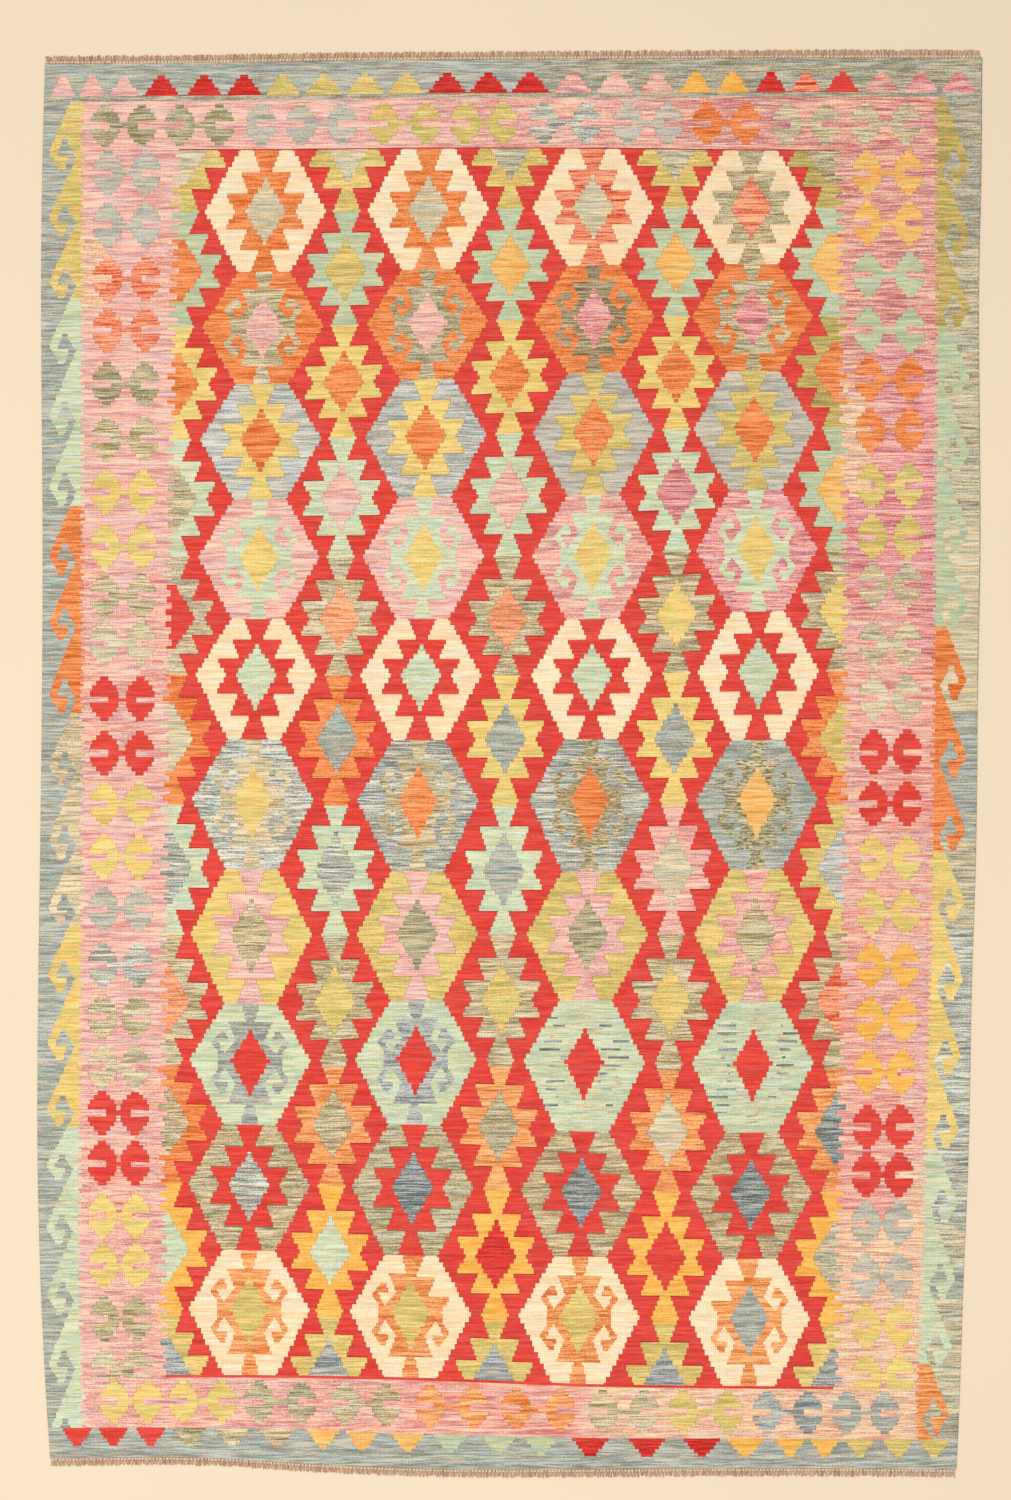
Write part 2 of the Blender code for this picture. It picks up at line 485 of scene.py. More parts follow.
STAR_ROWS = (
    stars(
        "YELLOW_GREEN YELLOW_GREEN YELLOW_GREEN YELLOW_GREEN OLIVE_GOLD",
        "PALE_MINT PALE_MINT KHAKI KHAKI SAGE",
    ),
    stars("DEEP_MINT", "ORANGE YELLOW_GREEN WARM_GOLD WARM_GOLD WARM_GOLD"),
    stars("YELLOW YELLOW YELLOW YELLOW OLIVE_GOLD", "ORANGE"),
    stars("MINT MINT MINT MINT DEEP_MINT", "SAGE ROSE PINK MAGENTA WARM_GOLD"),
    stars("PALE_SAGE SAGE SAGE SAGE SAGE", "RED SOFT_CORAL SOFT_CORAL YELLOW YELLOW"),
    stars("ORANGE ORANGE YELLOW YELLOW ORANGE", "PALE_MINT SLATE SLATE SLATE YELLOW_GREEN"),
    stars("MINT MINT MINT PINK YELLOW_GREEN", "SLATE_MIX SLATE_MIX SLATE PALE_MINT LAVENDER"),
    stars("SAGE SAGE SAGE SAGE OLIVE_GREY", "SOFT_CORAL YELLOW_GREEN YELLOW_GREEN YELLOW_GREEN CORAL"),
    stars("ORANGE PALE_ORANGE PALE_ORANGE PALE_ORANGE PALE_ORANGE", "SAGE SAGE DEEP_SAGE PALE_MINT BLUE"),
    stars("GOLD", "MINT MINT DEEP_RED RED KHAKI"),
    stars("YELLOW_GREEN", "SOFT_BLUE"),
)

LEFT, RIGHT = -1, 1
BOTTOM, TOP = -1, 1


class Quarter(NamedTuple):
    """A quarter of a hexagon: its row and column, its side and its end."""

    row: int
    column: int
    side: int
    end: int


# Where the weaver left the row's figure: whole hexagons, and quarters woven like a star's.
OTHER_FIGURES = {
    (5, 2): Figure.RAGGED,
    (5, 3): Figure.RAGGED,
    (7, 2): Figure.DASHED,
    (7, 3): Figure.DASHED,
}
WINGED_QUARTERS = (Quarter(9, 1, RIGHT, TOP), Quarter(9, 3, LEFT, TOP))


class Run(NamedTuple):
    """Motifs in a row that share a yarn: their middles or their starts, in millimetres."""

    yarn: Yarn
    places: tuple[int, ...]


class Place(NamedTuple):
    """One motif of a run: its middle or start, and the yarn it is woven in."""

    at: float
    yarn: Yarn


def placed(*runs: Run) -> list[Place]:
    """Lists the motifs of some runs one by one, in the order given."""
    return [Place(float(at), run.yarn) for run in runs for at in run.places]


# The paired diamonds down the two sides: heights of their middles.
SIDE_DIAMONDS = {
    LEFT: placed(
        Run(Yarn.PALE_SLATE, (1260, 1149)), Run(Yarn.CORAL, (1034, 925)), Run(Yarn.DEEP_SAGE, (810,)),
        Run(Yarn.SAGE, (693,)), Run(Yarn.YELLOW, (580, 463)), Run(Yarn.SAGE, (358,)),
        Run(Yarn.PALE_MINT, (258,)), Run(Yarn.RED, (139, 23)), Run(Yarn.YELLOW, (-85, -198)),
        Run(Yarn.PALE_SLATE, (-309,)), Run(Yarn.SLATE_MIX, (-429,)), Run(Yarn.SAGE, (-539,)),
        Run(Yarn.PALE_SAGE, (-646,)), Run(Yarn.RED, (-744, -851)), Run(Yarn.YELLOW, (-964, -1070)),
        Run(Yarn.SAGE, (-1183,)), Run(Yarn.SAGE, (-1294,)),
    ),
    RIGHT: placed(
        Run(Yarn.WARM_GOLD, (1260, 1153)), Run(Yarn.DEEP_MINT, (1043, 925)), Run(Yarn.ORANGE, (821, 712)),
        Run(Yarn.YELLOW_GREEN, (593, 484)), Run(Yarn.PALE_SAGE, (382, 256)), Run(Yarn.PALE_MINT, (141,)),
        Run(Yarn.RED, (26, -85)), Run(Yarn.YELLOW, (-200, -316)), Run(Yarn.GOLD, (-429, -544, -657)),
        Run(Yarn.RED, (-774, -876)), Run(Yarn.PALE_SLATE, (-979, -1092)), Run(Yarn.YELLOW, (-1198, -1305)),
    ),
}

# The diamonds of the two end rows: places of their middles across the rug.
END_DIAMONDS = {
    TOP: placed(
        Run(Yarn.DEEP_SAGE, (-864, -786, -705, -621)), Run(Yarn.PALE_SLATE, (-532, -447, -359)),
        Run(Yarn.YELLOW_GREEN, (-270, -180, -97, -16)), Run(Yarn.SLATE_MIX, (71, 161)),
        Run(Yarn.PALE_SLATE, (250, 336)), Run(Yarn.ORANGE, (419, 502)),
        Run(Yarn.PALE_SAGE, (589, 672, 756, 843)),
    ),
    BOTTOM: placed(
        Run(Yarn.YELLOW, (-845, -773, -698, -615)), Run(Yarn.DEEP_SAGE, (-536, -445)),
        Run(Yarn.SAGE, (-353, -265)), Run(Yarn.PALE_ORANGE, (-172, -78, 12, 106)),
        Run(Yarn.SAGE, (197, 285)), Run(Yarn.YELLOW_GREEN, (368, 464)), Run(Yarn.SOFT_BLUE, (547, 634)),
        Run(Yarn.SLATE, (717, 798)),
    ),
}

# One diamond of the top row has no partner.
LONE_TOP_DIAMOND = 4

PYRAMIDS = {
    TOP: placed(
        Run(Yarn.ROSE, (-954, -892, -824)), Run(Yarn.DEEP_RED, (-744, -653, -568)),
        Run(Yarn.YELLOW_GREEN, (-485, -398, -310, -223)), Run(Yarn.DEEP_RED, (-135, -47, 42)),
        Run(Yarn.PINK, (133, 223, 312)), Run(Yarn.GOLD, (395, 474)), Run(Yarn.DEEP_RED, (555,)),
        Run(Yarn.CORAL, (630,)), Run(Yarn.RED, (707,)), Run(Yarn.CLAY, (792,)),
        Run(Yarn.MAGENTA, (875, 956)),
    ),
    BOTTOM: placed(
        Run(Yarn.RED, (-924, -847, -767)), Run(Yarn.SAGE, (-684, -594, -498)),
        Run(Yarn.WARM_GOLD, (-400, -317, -219)), Run(Yarn.DEEP_MINT, (-129, -25, 65)),
        Run(Yarn.DEEP_RED, (170, 291, 408)), Run(Yarn.GOLD, (501, 596, 670)),
        Run(Yarn.YELLOW_GREEN, (745, 826, 903)),
    ),
}

# The hooks: the height at which each begins, from the top end down.
HOOKS = {
    LEFT: placed(
        Run(Yarn.YELLOW_GREEN, (1411, 1264, 1126)), Run(Yarn.MINT, (993, 853, 701)),
        Run(Yarn.ORANGE, (550, 403, 264)), Run(Yarn.PALE_SAGE, (109, -45, -205)),
        Run(Yarn.YELLOW, (-343, -488, -633)), Run(Yarn.MINT, (-772, -887, -1025, -1173, -1318)),
    ),
    RIGHT: placed(
        Run(Yarn.OLIVE_GOLD, (1399, 1234, 1085)), Run(Yarn.DEEP_MINT, (930, 785, 618, 450)),
        Run(Yarn.ORANGE, (294, 136, -28)), Run(Yarn.YELLOW, (-185, -335, -505, -663)),
        Run(Yarn.MINT, (-820, -980, -1141)), Run(Yarn.PALE_ORANGE, (-1280,)),
    ),
}

# Where along or across the rug the motifs of a border are, for the lines of the mesh, in millimetres.
SIDE_DIAMONDS_ACROSS = {LEFT: -830, RIGHT: 800}
HOOKS_ACROSS = {LEFT: -950, RIGHT: 930}
END_DIAMONDS_ALONG = {TOP: 1365, BOTTOM: -1370}
PYRAMIDS_ALONG = {TOP: 1440, BOTTOM: -1450}


class Stretch(NamedTuple):
    """A stretch of a border's ground in one yarn, from the end of the one before it, and where it ends."""

    yarn: Yarn
    end: int


# The pink grounds of the side borders, from the top end down: outside, between and inside their diamonds.
SIDE_GROUNDS = {
    LEFT: (
        (
            Stretch(Yarn.ROSE, 1115), Stretch(Yarn.PEACH, 950), Stretch(Yarn.ROSE, 480),
            Stretch(Yarn.PINK, 15), Stretch(Yarn.ROSE, -640), Stretch(Yarn.PINK, -990),
            Stretch(Yarn.ROSE, -1500),
        ),
        (
            Stretch(Yarn.ROSE, 170), Stretch(Yarn.PINK, 30), Stretch(Yarn.ROSE, -820),
            Stretch(Yarn.SALMON, -990), Stretch(Yarn.PINK, -1500),
        ),
        (
            Stretch(Yarn.ROSE, 1110), Stretch(Yarn.PINK, 970), Stretch(Yarn.ROSE, 410),
            Stretch(Yarn.PINK, 130), Stretch(Yarn.ROSE, -640), Stretch(Yarn.PINK, -1500),
        ),
    ),
    RIGHT: (
        (
            Stretch(Yarn.CLAY, 860), Stretch(Yarn.MAGENTA, 235), Stretch(Yarn.SALMON, -150),
            Stretch(Yarn.PINK, -860), Stretch(Yarn.PEACH, -1500),
        ),
        (
            Stretch(Yarn.CLAY, 890), Stretch(Yarn.MAGENTA, 350), Stretch(Yarn.PINK, 60),
            Stretch(Yarn.SALMON, -140), Stretch(Yarn.PINK, -600), Stretch(Yarn.SALMON, -990),
            Stretch(Yarn.PEACH, -1500),
        ),
        (
            Stretch(Yarn.CLAY, 787), Stretch(Yarn.PEACH, 573), Stretch(Yarn.MAGENTA, 330),
            Stretch(Yarn.PINK, -310), Stretch(Yarn.SALMON, -950), Stretch(Yarn.PEACH, -1500),
        ),
    ),
}

# The pink grounds of the end rows, from the left to the right.
END_GROUNDS = {
    TOP: (Stretch(Yarn.ROSE, -172), Stretch(Yarn.PINK, 340), Stretch(Yarn.CLAY, 1100)),
    BOTTOM: (Stretch(Yarn.PINK, -240), Stretch(Yarn.SALMON, 170), Stretch(Yarn.PEACH, 1100)),
}

# The grounds outside the hooks, from the top end down.
OUTSIDE_GROUNDS = {
    LEFT: (Stretch(Yarn.SLATE, -1500),),
    RIGHT: (
        Stretch(Yarn.DARK_KHAKI, 1095), Stretch(Yarn.KHAKI, 500), Stretch(Yarn.PALE_MINT, 110),
        Stretch(Yarn.SLATE, -160), Stretch(Yarn.KHAKI, -350), Stretch(Yarn.SLATE_MIX, -983),
        Stretch(Yarn.KHAKI, -1068), Stretch(Yarn.SLATE, -1143), Stretch(Yarn.KHAKI, -1380),
        Stretch(Yarn.DARK_KHAKI, -1500),
    ),
}
TOP_TURNS_KHAKI = 70

# The right selvedge is woven brown at its top end, then khaki; farther down it has the ground's yarn.
SELVEDGE_TURNS_KHAKI = 1150
SELVEDGE_TURNS_PLAIN = 130


def falling(stretches: tuple[Stretch, ...], height: float) -> Yarn:
    """The yarn of a side border's ground at a height."""
    return next((stretch.yarn for stretch in stretches if height > stretch.end), stretches[-1].yarn)


def nearest_turn(stretches: tuple[Stretch, ...], across: float) -> tuple[Stretch, Stretch]:
    """The stretches before and after the turn that is nearest to a place across the rug."""
    return min(zip(stretches, stretches[1:]), key=lambda pair: abs(pair[0].end - across))


# ------------------------------------------------------------------------------------ shader expressions


def operator(operation: str, flipped: bool = False) -> Callable[..., "Value"]:
    """Makes an operator of Value that adds one Math node.

    Args:
        operation: What the node does.
        flipped: Whether the other value comes first, as a reflected operator needs.

    Returns:
        The operator.
    """

    def add_node(value: "Value", other: "Number" = 0.0) -> "Value":
        """Adds the node.

        Args:
            value: The value before the operator.
            other: The one after it.

        Returns:
            What the node gives.
        """
        first, second = (other, value) if flipped else (value, other)
        node = value.graph.node("ShaderNodeMath", {"operation": operation}, {0: first, 1: second})
        return Value(value.graph, node.outputs[0])

    return add_node


class Value:
    """A number in a material's node graph, so that shader maths reads as plain expressions.

    A comparison gives a mask, the product of masks is where both hold, and | where either holds.
    """

    def __init__(self, graph: "Graph", socket: bpy.types.NodeSocket) -> None:
        """Wraps a socket of a graph."""
        self.graph = graph
        self.socket = socket

    __add__ = __radd__ = operator("ADD")
    __sub__ = operator("SUBTRACT")
    __rsub__ = operator("SUBTRACT", flipped=True)
    __mul__ = __rmul__ = operator("MULTIPLY")
    __truediv__ = operator("DIVIDE")
    __lt__ = operator("LESS_THAN")
    __gt__ = operator("GREATER_THAN")
    __or__ = operator("MAXIMUM")
    least = operator("MINIMUM")
    floor = operator("FLOOR")
    part = operator("FRACT")
    size = operator("ABSOLUTE")

    def rise(self, low: float, high: float) -> "Value":
        """A smooth step.

        Args:
            low: Where it leaves 0.
            high: Where it reaches 1.

        Returns:
            The step.
        """
        settings = {"interpolation_type": "SMOOTHSTEP"}
        inputs = {"Value": self, "From Min": low, "From Max": high}
        return Value(self.graph, self.graph.node("ShaderNodeMapRange", settings, inputs).outputs[0])


Number = Value | float


class Graph:
    """The node graph of one material."""

    def __init__(self, name: str) -> None:
        """Makes an empty material with its shader and its output.

        Args:
            name: The material's name.
        """
        self.material = bpy.data.materials.new(name)
        self.material.use_nodes = True
        self.tree = self.material.node_tree
        self.tree.nodes.clear()
        self.shader = self.node("ShaderNodeBsdfPrincipled", {}, {})
        self.node("ShaderNodeOutputMaterial", {}, {0: self.shader.outputs[0]})

    def node(self, kind: str, settings: dict, inputs: dict) -> bpy.types.Node:
        """Adds one node.

        Args:
            kind: The node's type.
            settings: Its properties, which are set before its sockets.
            inputs: A number, colour, wrapped value or output socket for each input named or numbered.

        Returns:
            The node.
        """
        node = self.tree.nodes.new(kind)
        for name, setting in settings.items():
            setattr(node, name, setting)
        for key, given in inputs.items():
            if isinstance(given, Value):
                given = given.socket
            if isinstance(given, bpy.types.NodeSocket):
                self.tree.links.new(given, node.inputs[key])
            else:
                node.inputs[key].default_value = given
        return node

    def split(self, vector: bpy.types.NodeSocket) -> tuple[Value, Value, Value]:
        """The three numbers of a vector."""
        parts = self.node("ShaderNodeSeparateXYZ", {}, {0: vector}).outputs
        return Value(self, parts[0]), Value(self, parts[1]), Value(self, parts[2])

    def carried(self, name: str) -> tuple[Value, Value, Value]:
        """The three numbers that the mesh carries under a name."""
        return self.split(self.node("ShaderNodeAttribute", {"attribute_name": name}, {}).outputs["Vector"])

    def place(self) -> tuple[Value, Value]:
        """Where on the rug the point is, across and along, in millimetres."""
        x, y, _ = self.split(self.node("ShaderNodeTexCoord", {}, {}).outputs["Object"])
        return x / MM, y / MM

    def dice(self, number: Number) -> Value:
        """An even random number from 0 to 1 for each whole number."""
        node = self.node("ShaderNodeTexWhiteNoise", {"noise_dimensions": "1D"}, {"W": number})
        return Value(self, node.outputs["Value"])

    def mix(self, share: Number, first: object, second: object) -> bpy.types.NodeSocket:
        """Mixes two colours: none of the second at share 0, all of it at 1."""
        node = self.node("ShaderNodeMix", {"data_type": "RGBA"}, {"Factor": share, 6: first, 7: second})
        return node.outputs[2]

    def dyed(self, colour: bpy.types.NodeSocket, tint: bpy.types.NodeSocket) -> bpy.types.NodeSocket:
        """Multiplies a colour by a tint."""
        return self.node("ShaderNodeVectorMath", {"operation": "MULTIPLY"}, {0: colour, 1: tint}).outputs[0]

    def tone(self, colour: object, level: Number) -> bpy.types.NodeSocket:
        """Makes a colour lighter or darker by a factor."""
        inputs = {0: colour, "Scale": level}
        return self.node("ShaderNodeVectorMath", {"operation": "SCALE"}, inputs).outputs[0]

    def shelf(self, yarn: Value, shade: str) -> bpy.types.NodeSocket:
        """Looks up one shade of a yarn by the yarn's number.

        Args:
            yarn: The number.
            shade: Which shade, "usual", "dark" or "light".

        Returns:
            The colour.
        """
        yarns = list(Yarn)
        lower = self.board(yarn, shade, yarns[:SHELF_LENGTH])
        upper = self.board(yarn - SHELF_LENGTH, shade, yarns[SHELF_LENGTH:])
        return self.mix(yarn > SHELF_LENGTH, lower, upper)

    def board(self, place: Value, shade: str, yarns: list[Yarn]) -> bpy.types.NodeSocket:
        """Looks up one shade on a board of the shelf.

        Args:
            place: Place on the board.
            shade: Which shade.
            yarns: The yarns on the board.

        Returns:
            The colour.
        """
        ramp = self.node("ShaderNodeValToRGB", {}, {0: place / SHELF_LENGTH})
        stops = ramp.color_ramp
        stops.interpolation = "CONSTANT"
        stops.elements.remove(stops.elements[1])
        for i, each in enumerate(yarns):
            stop = stops.elements[0] if i == 0 else stops.elements.new(i / SHELF_LENGTH)
            stop.position = i / SHELF_LENGTH
            stop.color = dye(farther(getattr(each.value, shade), each.value.usual, SHADE_REACH))
        return ramp.outputs[0]

    def finished(self, colour: bpy.types.NodeSocket, relief: tuple, constants: dict) -> bpy.types.Material:
        """Finishes the material.

        Args:
            colour: Its colour.
            relief: Strength, distance in metres and height of its bump, or nothing.
            constants: Numbers for other sockets of the shader.

        Returns:
            The material.
        """
        self.tree.links.new(colour, self.shader.inputs["Base Color"])
        if relief:
            bump = self.node("ShaderNodeBump", {}, dict(zip(("Strength", "Distance", "Height"), relief)))
            self.tree.links.new(bump.outputs[0], self.shader.inputs["Normal"])
        for name, number in constants.items():
            self.shader.inputs[name].default_value = number
        return self.material


class Mottle(NamedTuple):
    """Soft blotches: how long and high one is, in millimetres, and the layer of noise that each yarn has."""

    length: float
    height: float
    layer: float = 0.0
    layers_apart: float = 0.0
    detail: float = 1.0
    softness: float = 0.55

    def over(self, x: Value, y: Value, yarn: Number = 0.0) -> Value:
        """The blotches at a place, as a number around a half.

        Args:
            x: Place across.
            y: Place along.
            yarn: Number of the yarn.

        Returns:
            The number.
        """
        graph = x.graph
        layer = yarn * self.layers_apart + self.layer
        point = graph.node("ShaderNodeCombineXYZ", {}, {0: x / self.length, 1: y / self.height, 2: layer})
        inputs = {"Vector": point.outputs[0], "Scale": 1.0, "Detail": self.detail, "Roughness": self.softness}
        noise = graph.node("ShaderNodeTexNoise", {"noise_dimensions": "3D"}, inputs)
        return Value(graph, noise.outputs[0])


# --------------------------------------------------------------------------------------- the woven finish


# Added to a whole number for another random number of its own.
SECOND_THROW = 0.5


class Slot(Enum):
    """The stretches of the cloth that have a finish of their own."""

    FIELD = 0
    DIAMONDS = 1
    PYRAMIDS = 2
    HOOKS = 3


@dataclass(frozen=True)
class Weave:
    """Weft-faced wool: ribs over the warps, picks that change shade, and slits at upright colour edges. Its
    colour is also painted darker as shade in the valleys between ribs and beads and in the slits, and lighter
    on the crowns.
    """

    rib: float = 4.3
    bead: float = 1.9
    block: float = 10.93
    slit: float = 0.6
    # Slits are sunk in the bump and also painted darker, as their shadow, by this share.
    slit_depth: float = 0.3
    pick_line: float = 2.2
    pick: Mottle = Mottle(55.0, 3.0, layers_apart=7.3, detail=2.0)
    skein: Mottle = Mottle(150.0, 10.0, 50.0, 3.1)
    hue: Mottle = Mottle(80.0, 9.0, 90.0, 5.7)
    blush: Mottle = Mottle(45.0, 9.0, 130.0, 2.9)
    fleck: Mottle = Mottle(3.4, 2.2, 170.0, 4.3)
    grain: Mottle = Mottle(2.6, 1.5)
    bend: Mottle = Mottle(130.0, 60.0)
    turn: Mottle = Mottle(70.0, 2.4, 4.0)
    pick_share: float = 0.68
    skein_share: float = 0.28
    fleck_share: float = 0.36
    sway: float = 9.0
    contrast: float = 14.0
    lot_strength: float = 3.0
    tint_turn: tuple[float, float] = (0.38, 0.62)
    warm: tuple[float, float, float, float] = (1.05, 1.0, 0.92, 1.0)
    cool: tuple[float, float, float, float] = (0.95, 1.0, 1.08, 1.0)
    rosy: tuple[float, float, float, float] = (1.045, 0.98, 1.0, 1.0)
    leafy: tuple[float, float, float, float] = (0.955, 1.02, 1.0, 1.0)
    bead_share: float = 0.4
    # How much darker the valleys between ribs and beads are painted as shade, and the crowns lighter as
    # painted light.
    rib_shade: float = 0.19
    grain_shade: float = 0.2
    tooth_pitch: float = 13.2
    long_tooth: float = 0.4
    tooth_spread: float = 0.7
    gap_spread: float = 0.3
    relief: float = 0.00035
    relief_strength: float = 0.6
    grain_relief: float = 0.5
    slit_relief: float = 2.0
    roughness: float = 0.92
    shine: float = 0.06
    sheen: float = 0.01
    sheen_roughness: float = 0.6

    def stepped(self, height: Value, origin: float, block: float) -> Value:
        """Middle of the block of picks that a height is in, blocks being counted from an origin."""
        return ((height - origin) / block).floor() * block + (origin + block / 2)

    def whole_ribs(self, width: Value) -> Value:
        """The nearest width that is a whole number of ribs."""
        return (width / self.rib + 0.5).floor() * self.rib

    def mid_rib(self, across: Value) -> Value:
        """Middle of the rib that a place is in."""
        return ((across / self.rib).floor() + 0.5) * self.rib

    def slit_at(self, across: Value, edge: Value) -> Value:
        """Mask of the slit along the upright part of an edge."""
        return ((across - edge).size() < self.slit) * (edge > 1.0)

    def teeth(self, graph: Graph, beyond: Value, depth: float) -> Value:
        """Mask of the comb of teeth in which one colour ends inside the next.

        Args:
            graph: The material.
            beyond: Distance past the last solid line, in millimetres.
            depth: Usual length of a tooth.

        Returns:
            1 where the colour that ends still shows.
        """
        _, y = graph.place()
        tooth = (y / self.tooth_pitch).floor()
        even = (tooth / 2.0).part() < 0.25
        reach = even * (graph.dice(tooth) * self.tooth_spread + self.long_tooth) * depth
        return beyond < reach + graph.dice(tooth + SECOND_THROW) * depth * self.gap_spread

    def turned(self, graph: Graph, ground: Value, next_ground: Number, width: float) -> Value:
        """Lets one ground turn into the next in streaks, round the place that the mesh carries.

        Args:
            graph: The material.
            ground: Yarn before the turn.
            next_ground: Yarn after it.
            width: How gradual the turn is, in millimetres.

        Returns:
            The yarn of the ground at each point.
        """
        past, _, _ = graph.carried("star")
        after = self.turn.over(*graph.place()) + past / width > 0.5
        return ground + after * (next_ground - ground)

    def dress(self, graph: Graph, yarn: Value, slit: Number = 0.0, line: Number = 0.0) -> bpy.types.Material:
        """Weaves a yarn: its shades in streaks, the ribs, the beads of the picks, slits and dark lines, with
        painted shade in the valleys and the slits.

        Args:
            graph: The material to finish.
            yarn: Number of the yarn at each point.
            slit: 1 in a slit, which is sunk in the bump and painted darker as its shadow.
            line: 1 on a pick of the dark shade.

        Returns:
            The finished material.
        """
        x, y = graph.place()
        lifted = y + self.bend.over(x, y) * self.sway
        streaks = self.pick.over(x, lifted, yarn) * self.pick_share
        streaks = streaks + self.skein.over(x, lifted, yarn) * self.skein_share
        streaks = streaks + self.fleck.over(x, y, yarn) * self.fleck_share
        middle = (self.pick_share + self.skein_share + self.fleck_share) / 2
        shade = (streaks - middle) * self.contrast + (yarn.part() - 0.5) * self.lot_strength
        colour = graph.mix(shade / SHADE_REACH, graph.shelf(yarn, "usual"), graph.shelf(yarn, "light"))
        colour = graph.mix(shade / -SHADE_REACH | line, colour, graph.shelf(yarn, "dark"))
        hue = self.hue.over(x, lifted, yarn).rise(*self.tint_turn)
        blush = self.blush.over(x, lifted, yarn).rise(*self.tint_turn)
        colour = graph.dyed(colour, graph.mix(hue, self.warm, self.cool))
        colour = graph.dyed(colour, graph.mix(blush, self.rosy, self.leafy))
        rib = x / self.rib
        crown = self.crown(rib)
        bead = self.crown(y / self.bead + (rib.floor() / 2.0).part())
        height = crown * (bead * self.bead_share + (1.0 - self.bead_share))
        grain = self.grain.over(x, y)
        level = (grain - 0.5) * self.grain_shade + 1.0
        # Painted shade and light: the colour follows the relief of ribs and beads, darker in the valleys and
        # lighter on the crowns, and darker still in the slits.
        level = level * ((height - 0.5) * self.rib_shade + 1.0) * (1.0 - self.slit_depth * slit)
        return graph.finished(
            graph.tone(colour, level),
            (self.relief_strength, self.relief, height + grain * self.grain_relief - self.slit_relief * slit),
            {
                "Roughness": self.roughness,
                "Specular IOR Level": self.shine,
                "Sheen Weight": self.sheen,
                "Sheen Roughness": self.sheen_roughness,
            },
        )

    def crown(self, place: Value) -> Value:
        """A round crest on each whole step of a place, from 0 at its ends to 1 in its middle."""
        off = place.part() - 0.5
        return 1.0 - off * off * 4.0


class Wedge(NamedTuple):
    """A part of a motif: the heights it lies between, and its two edges, which slope with the height."""

    low: float
    high: float
    inner: float
    inner_slope: float
    outer: float
    outer_slope: float

    def mask(self, across: Value, height: Value) -> Value:
        """1 inside the part."""
        inside = (across > height * self.inner_slope + self.inner) * (height > self.low)
        return inside * (across < height * self.outer_slope + self.outer) * (height < self.high)


# A quarter of the hooked figure, from its middle, in millimetres; its arms curl round a triangle.
NECK = Wedge(low=89.5, high=200.0, inner=-1.0, inner_slope=0.0, outer=-12.875, outer_slope=0.25)
BODY = Wedge(low=44.8, high=89.5, inner=-1.0, inner_slope=0.0, outer=14.1, outer_slope=0.367)
WAIST = Wedge(low=-1.0, high=44.8, inner=-1.0, inner_slope=0.0, outer=64.5, outer_slope=-0.76)
BAR = Wedge(low=-1.0, high=18.1, inner=-1.0, inner_slope=0.0, outer=68.0, outer_slope=0.0)
ARM = Wedge(low=10.7, high=44.8, inner=41.0, inner_slope=0.72, outer=58.0, outer_slope=0.65)
FOOT = Wedge(low=43.7, high=65.6, inner=26.5, inner_slope=0.42, outer=118.5, outer_slope=-0.85)
ARM_REACH = 82.0


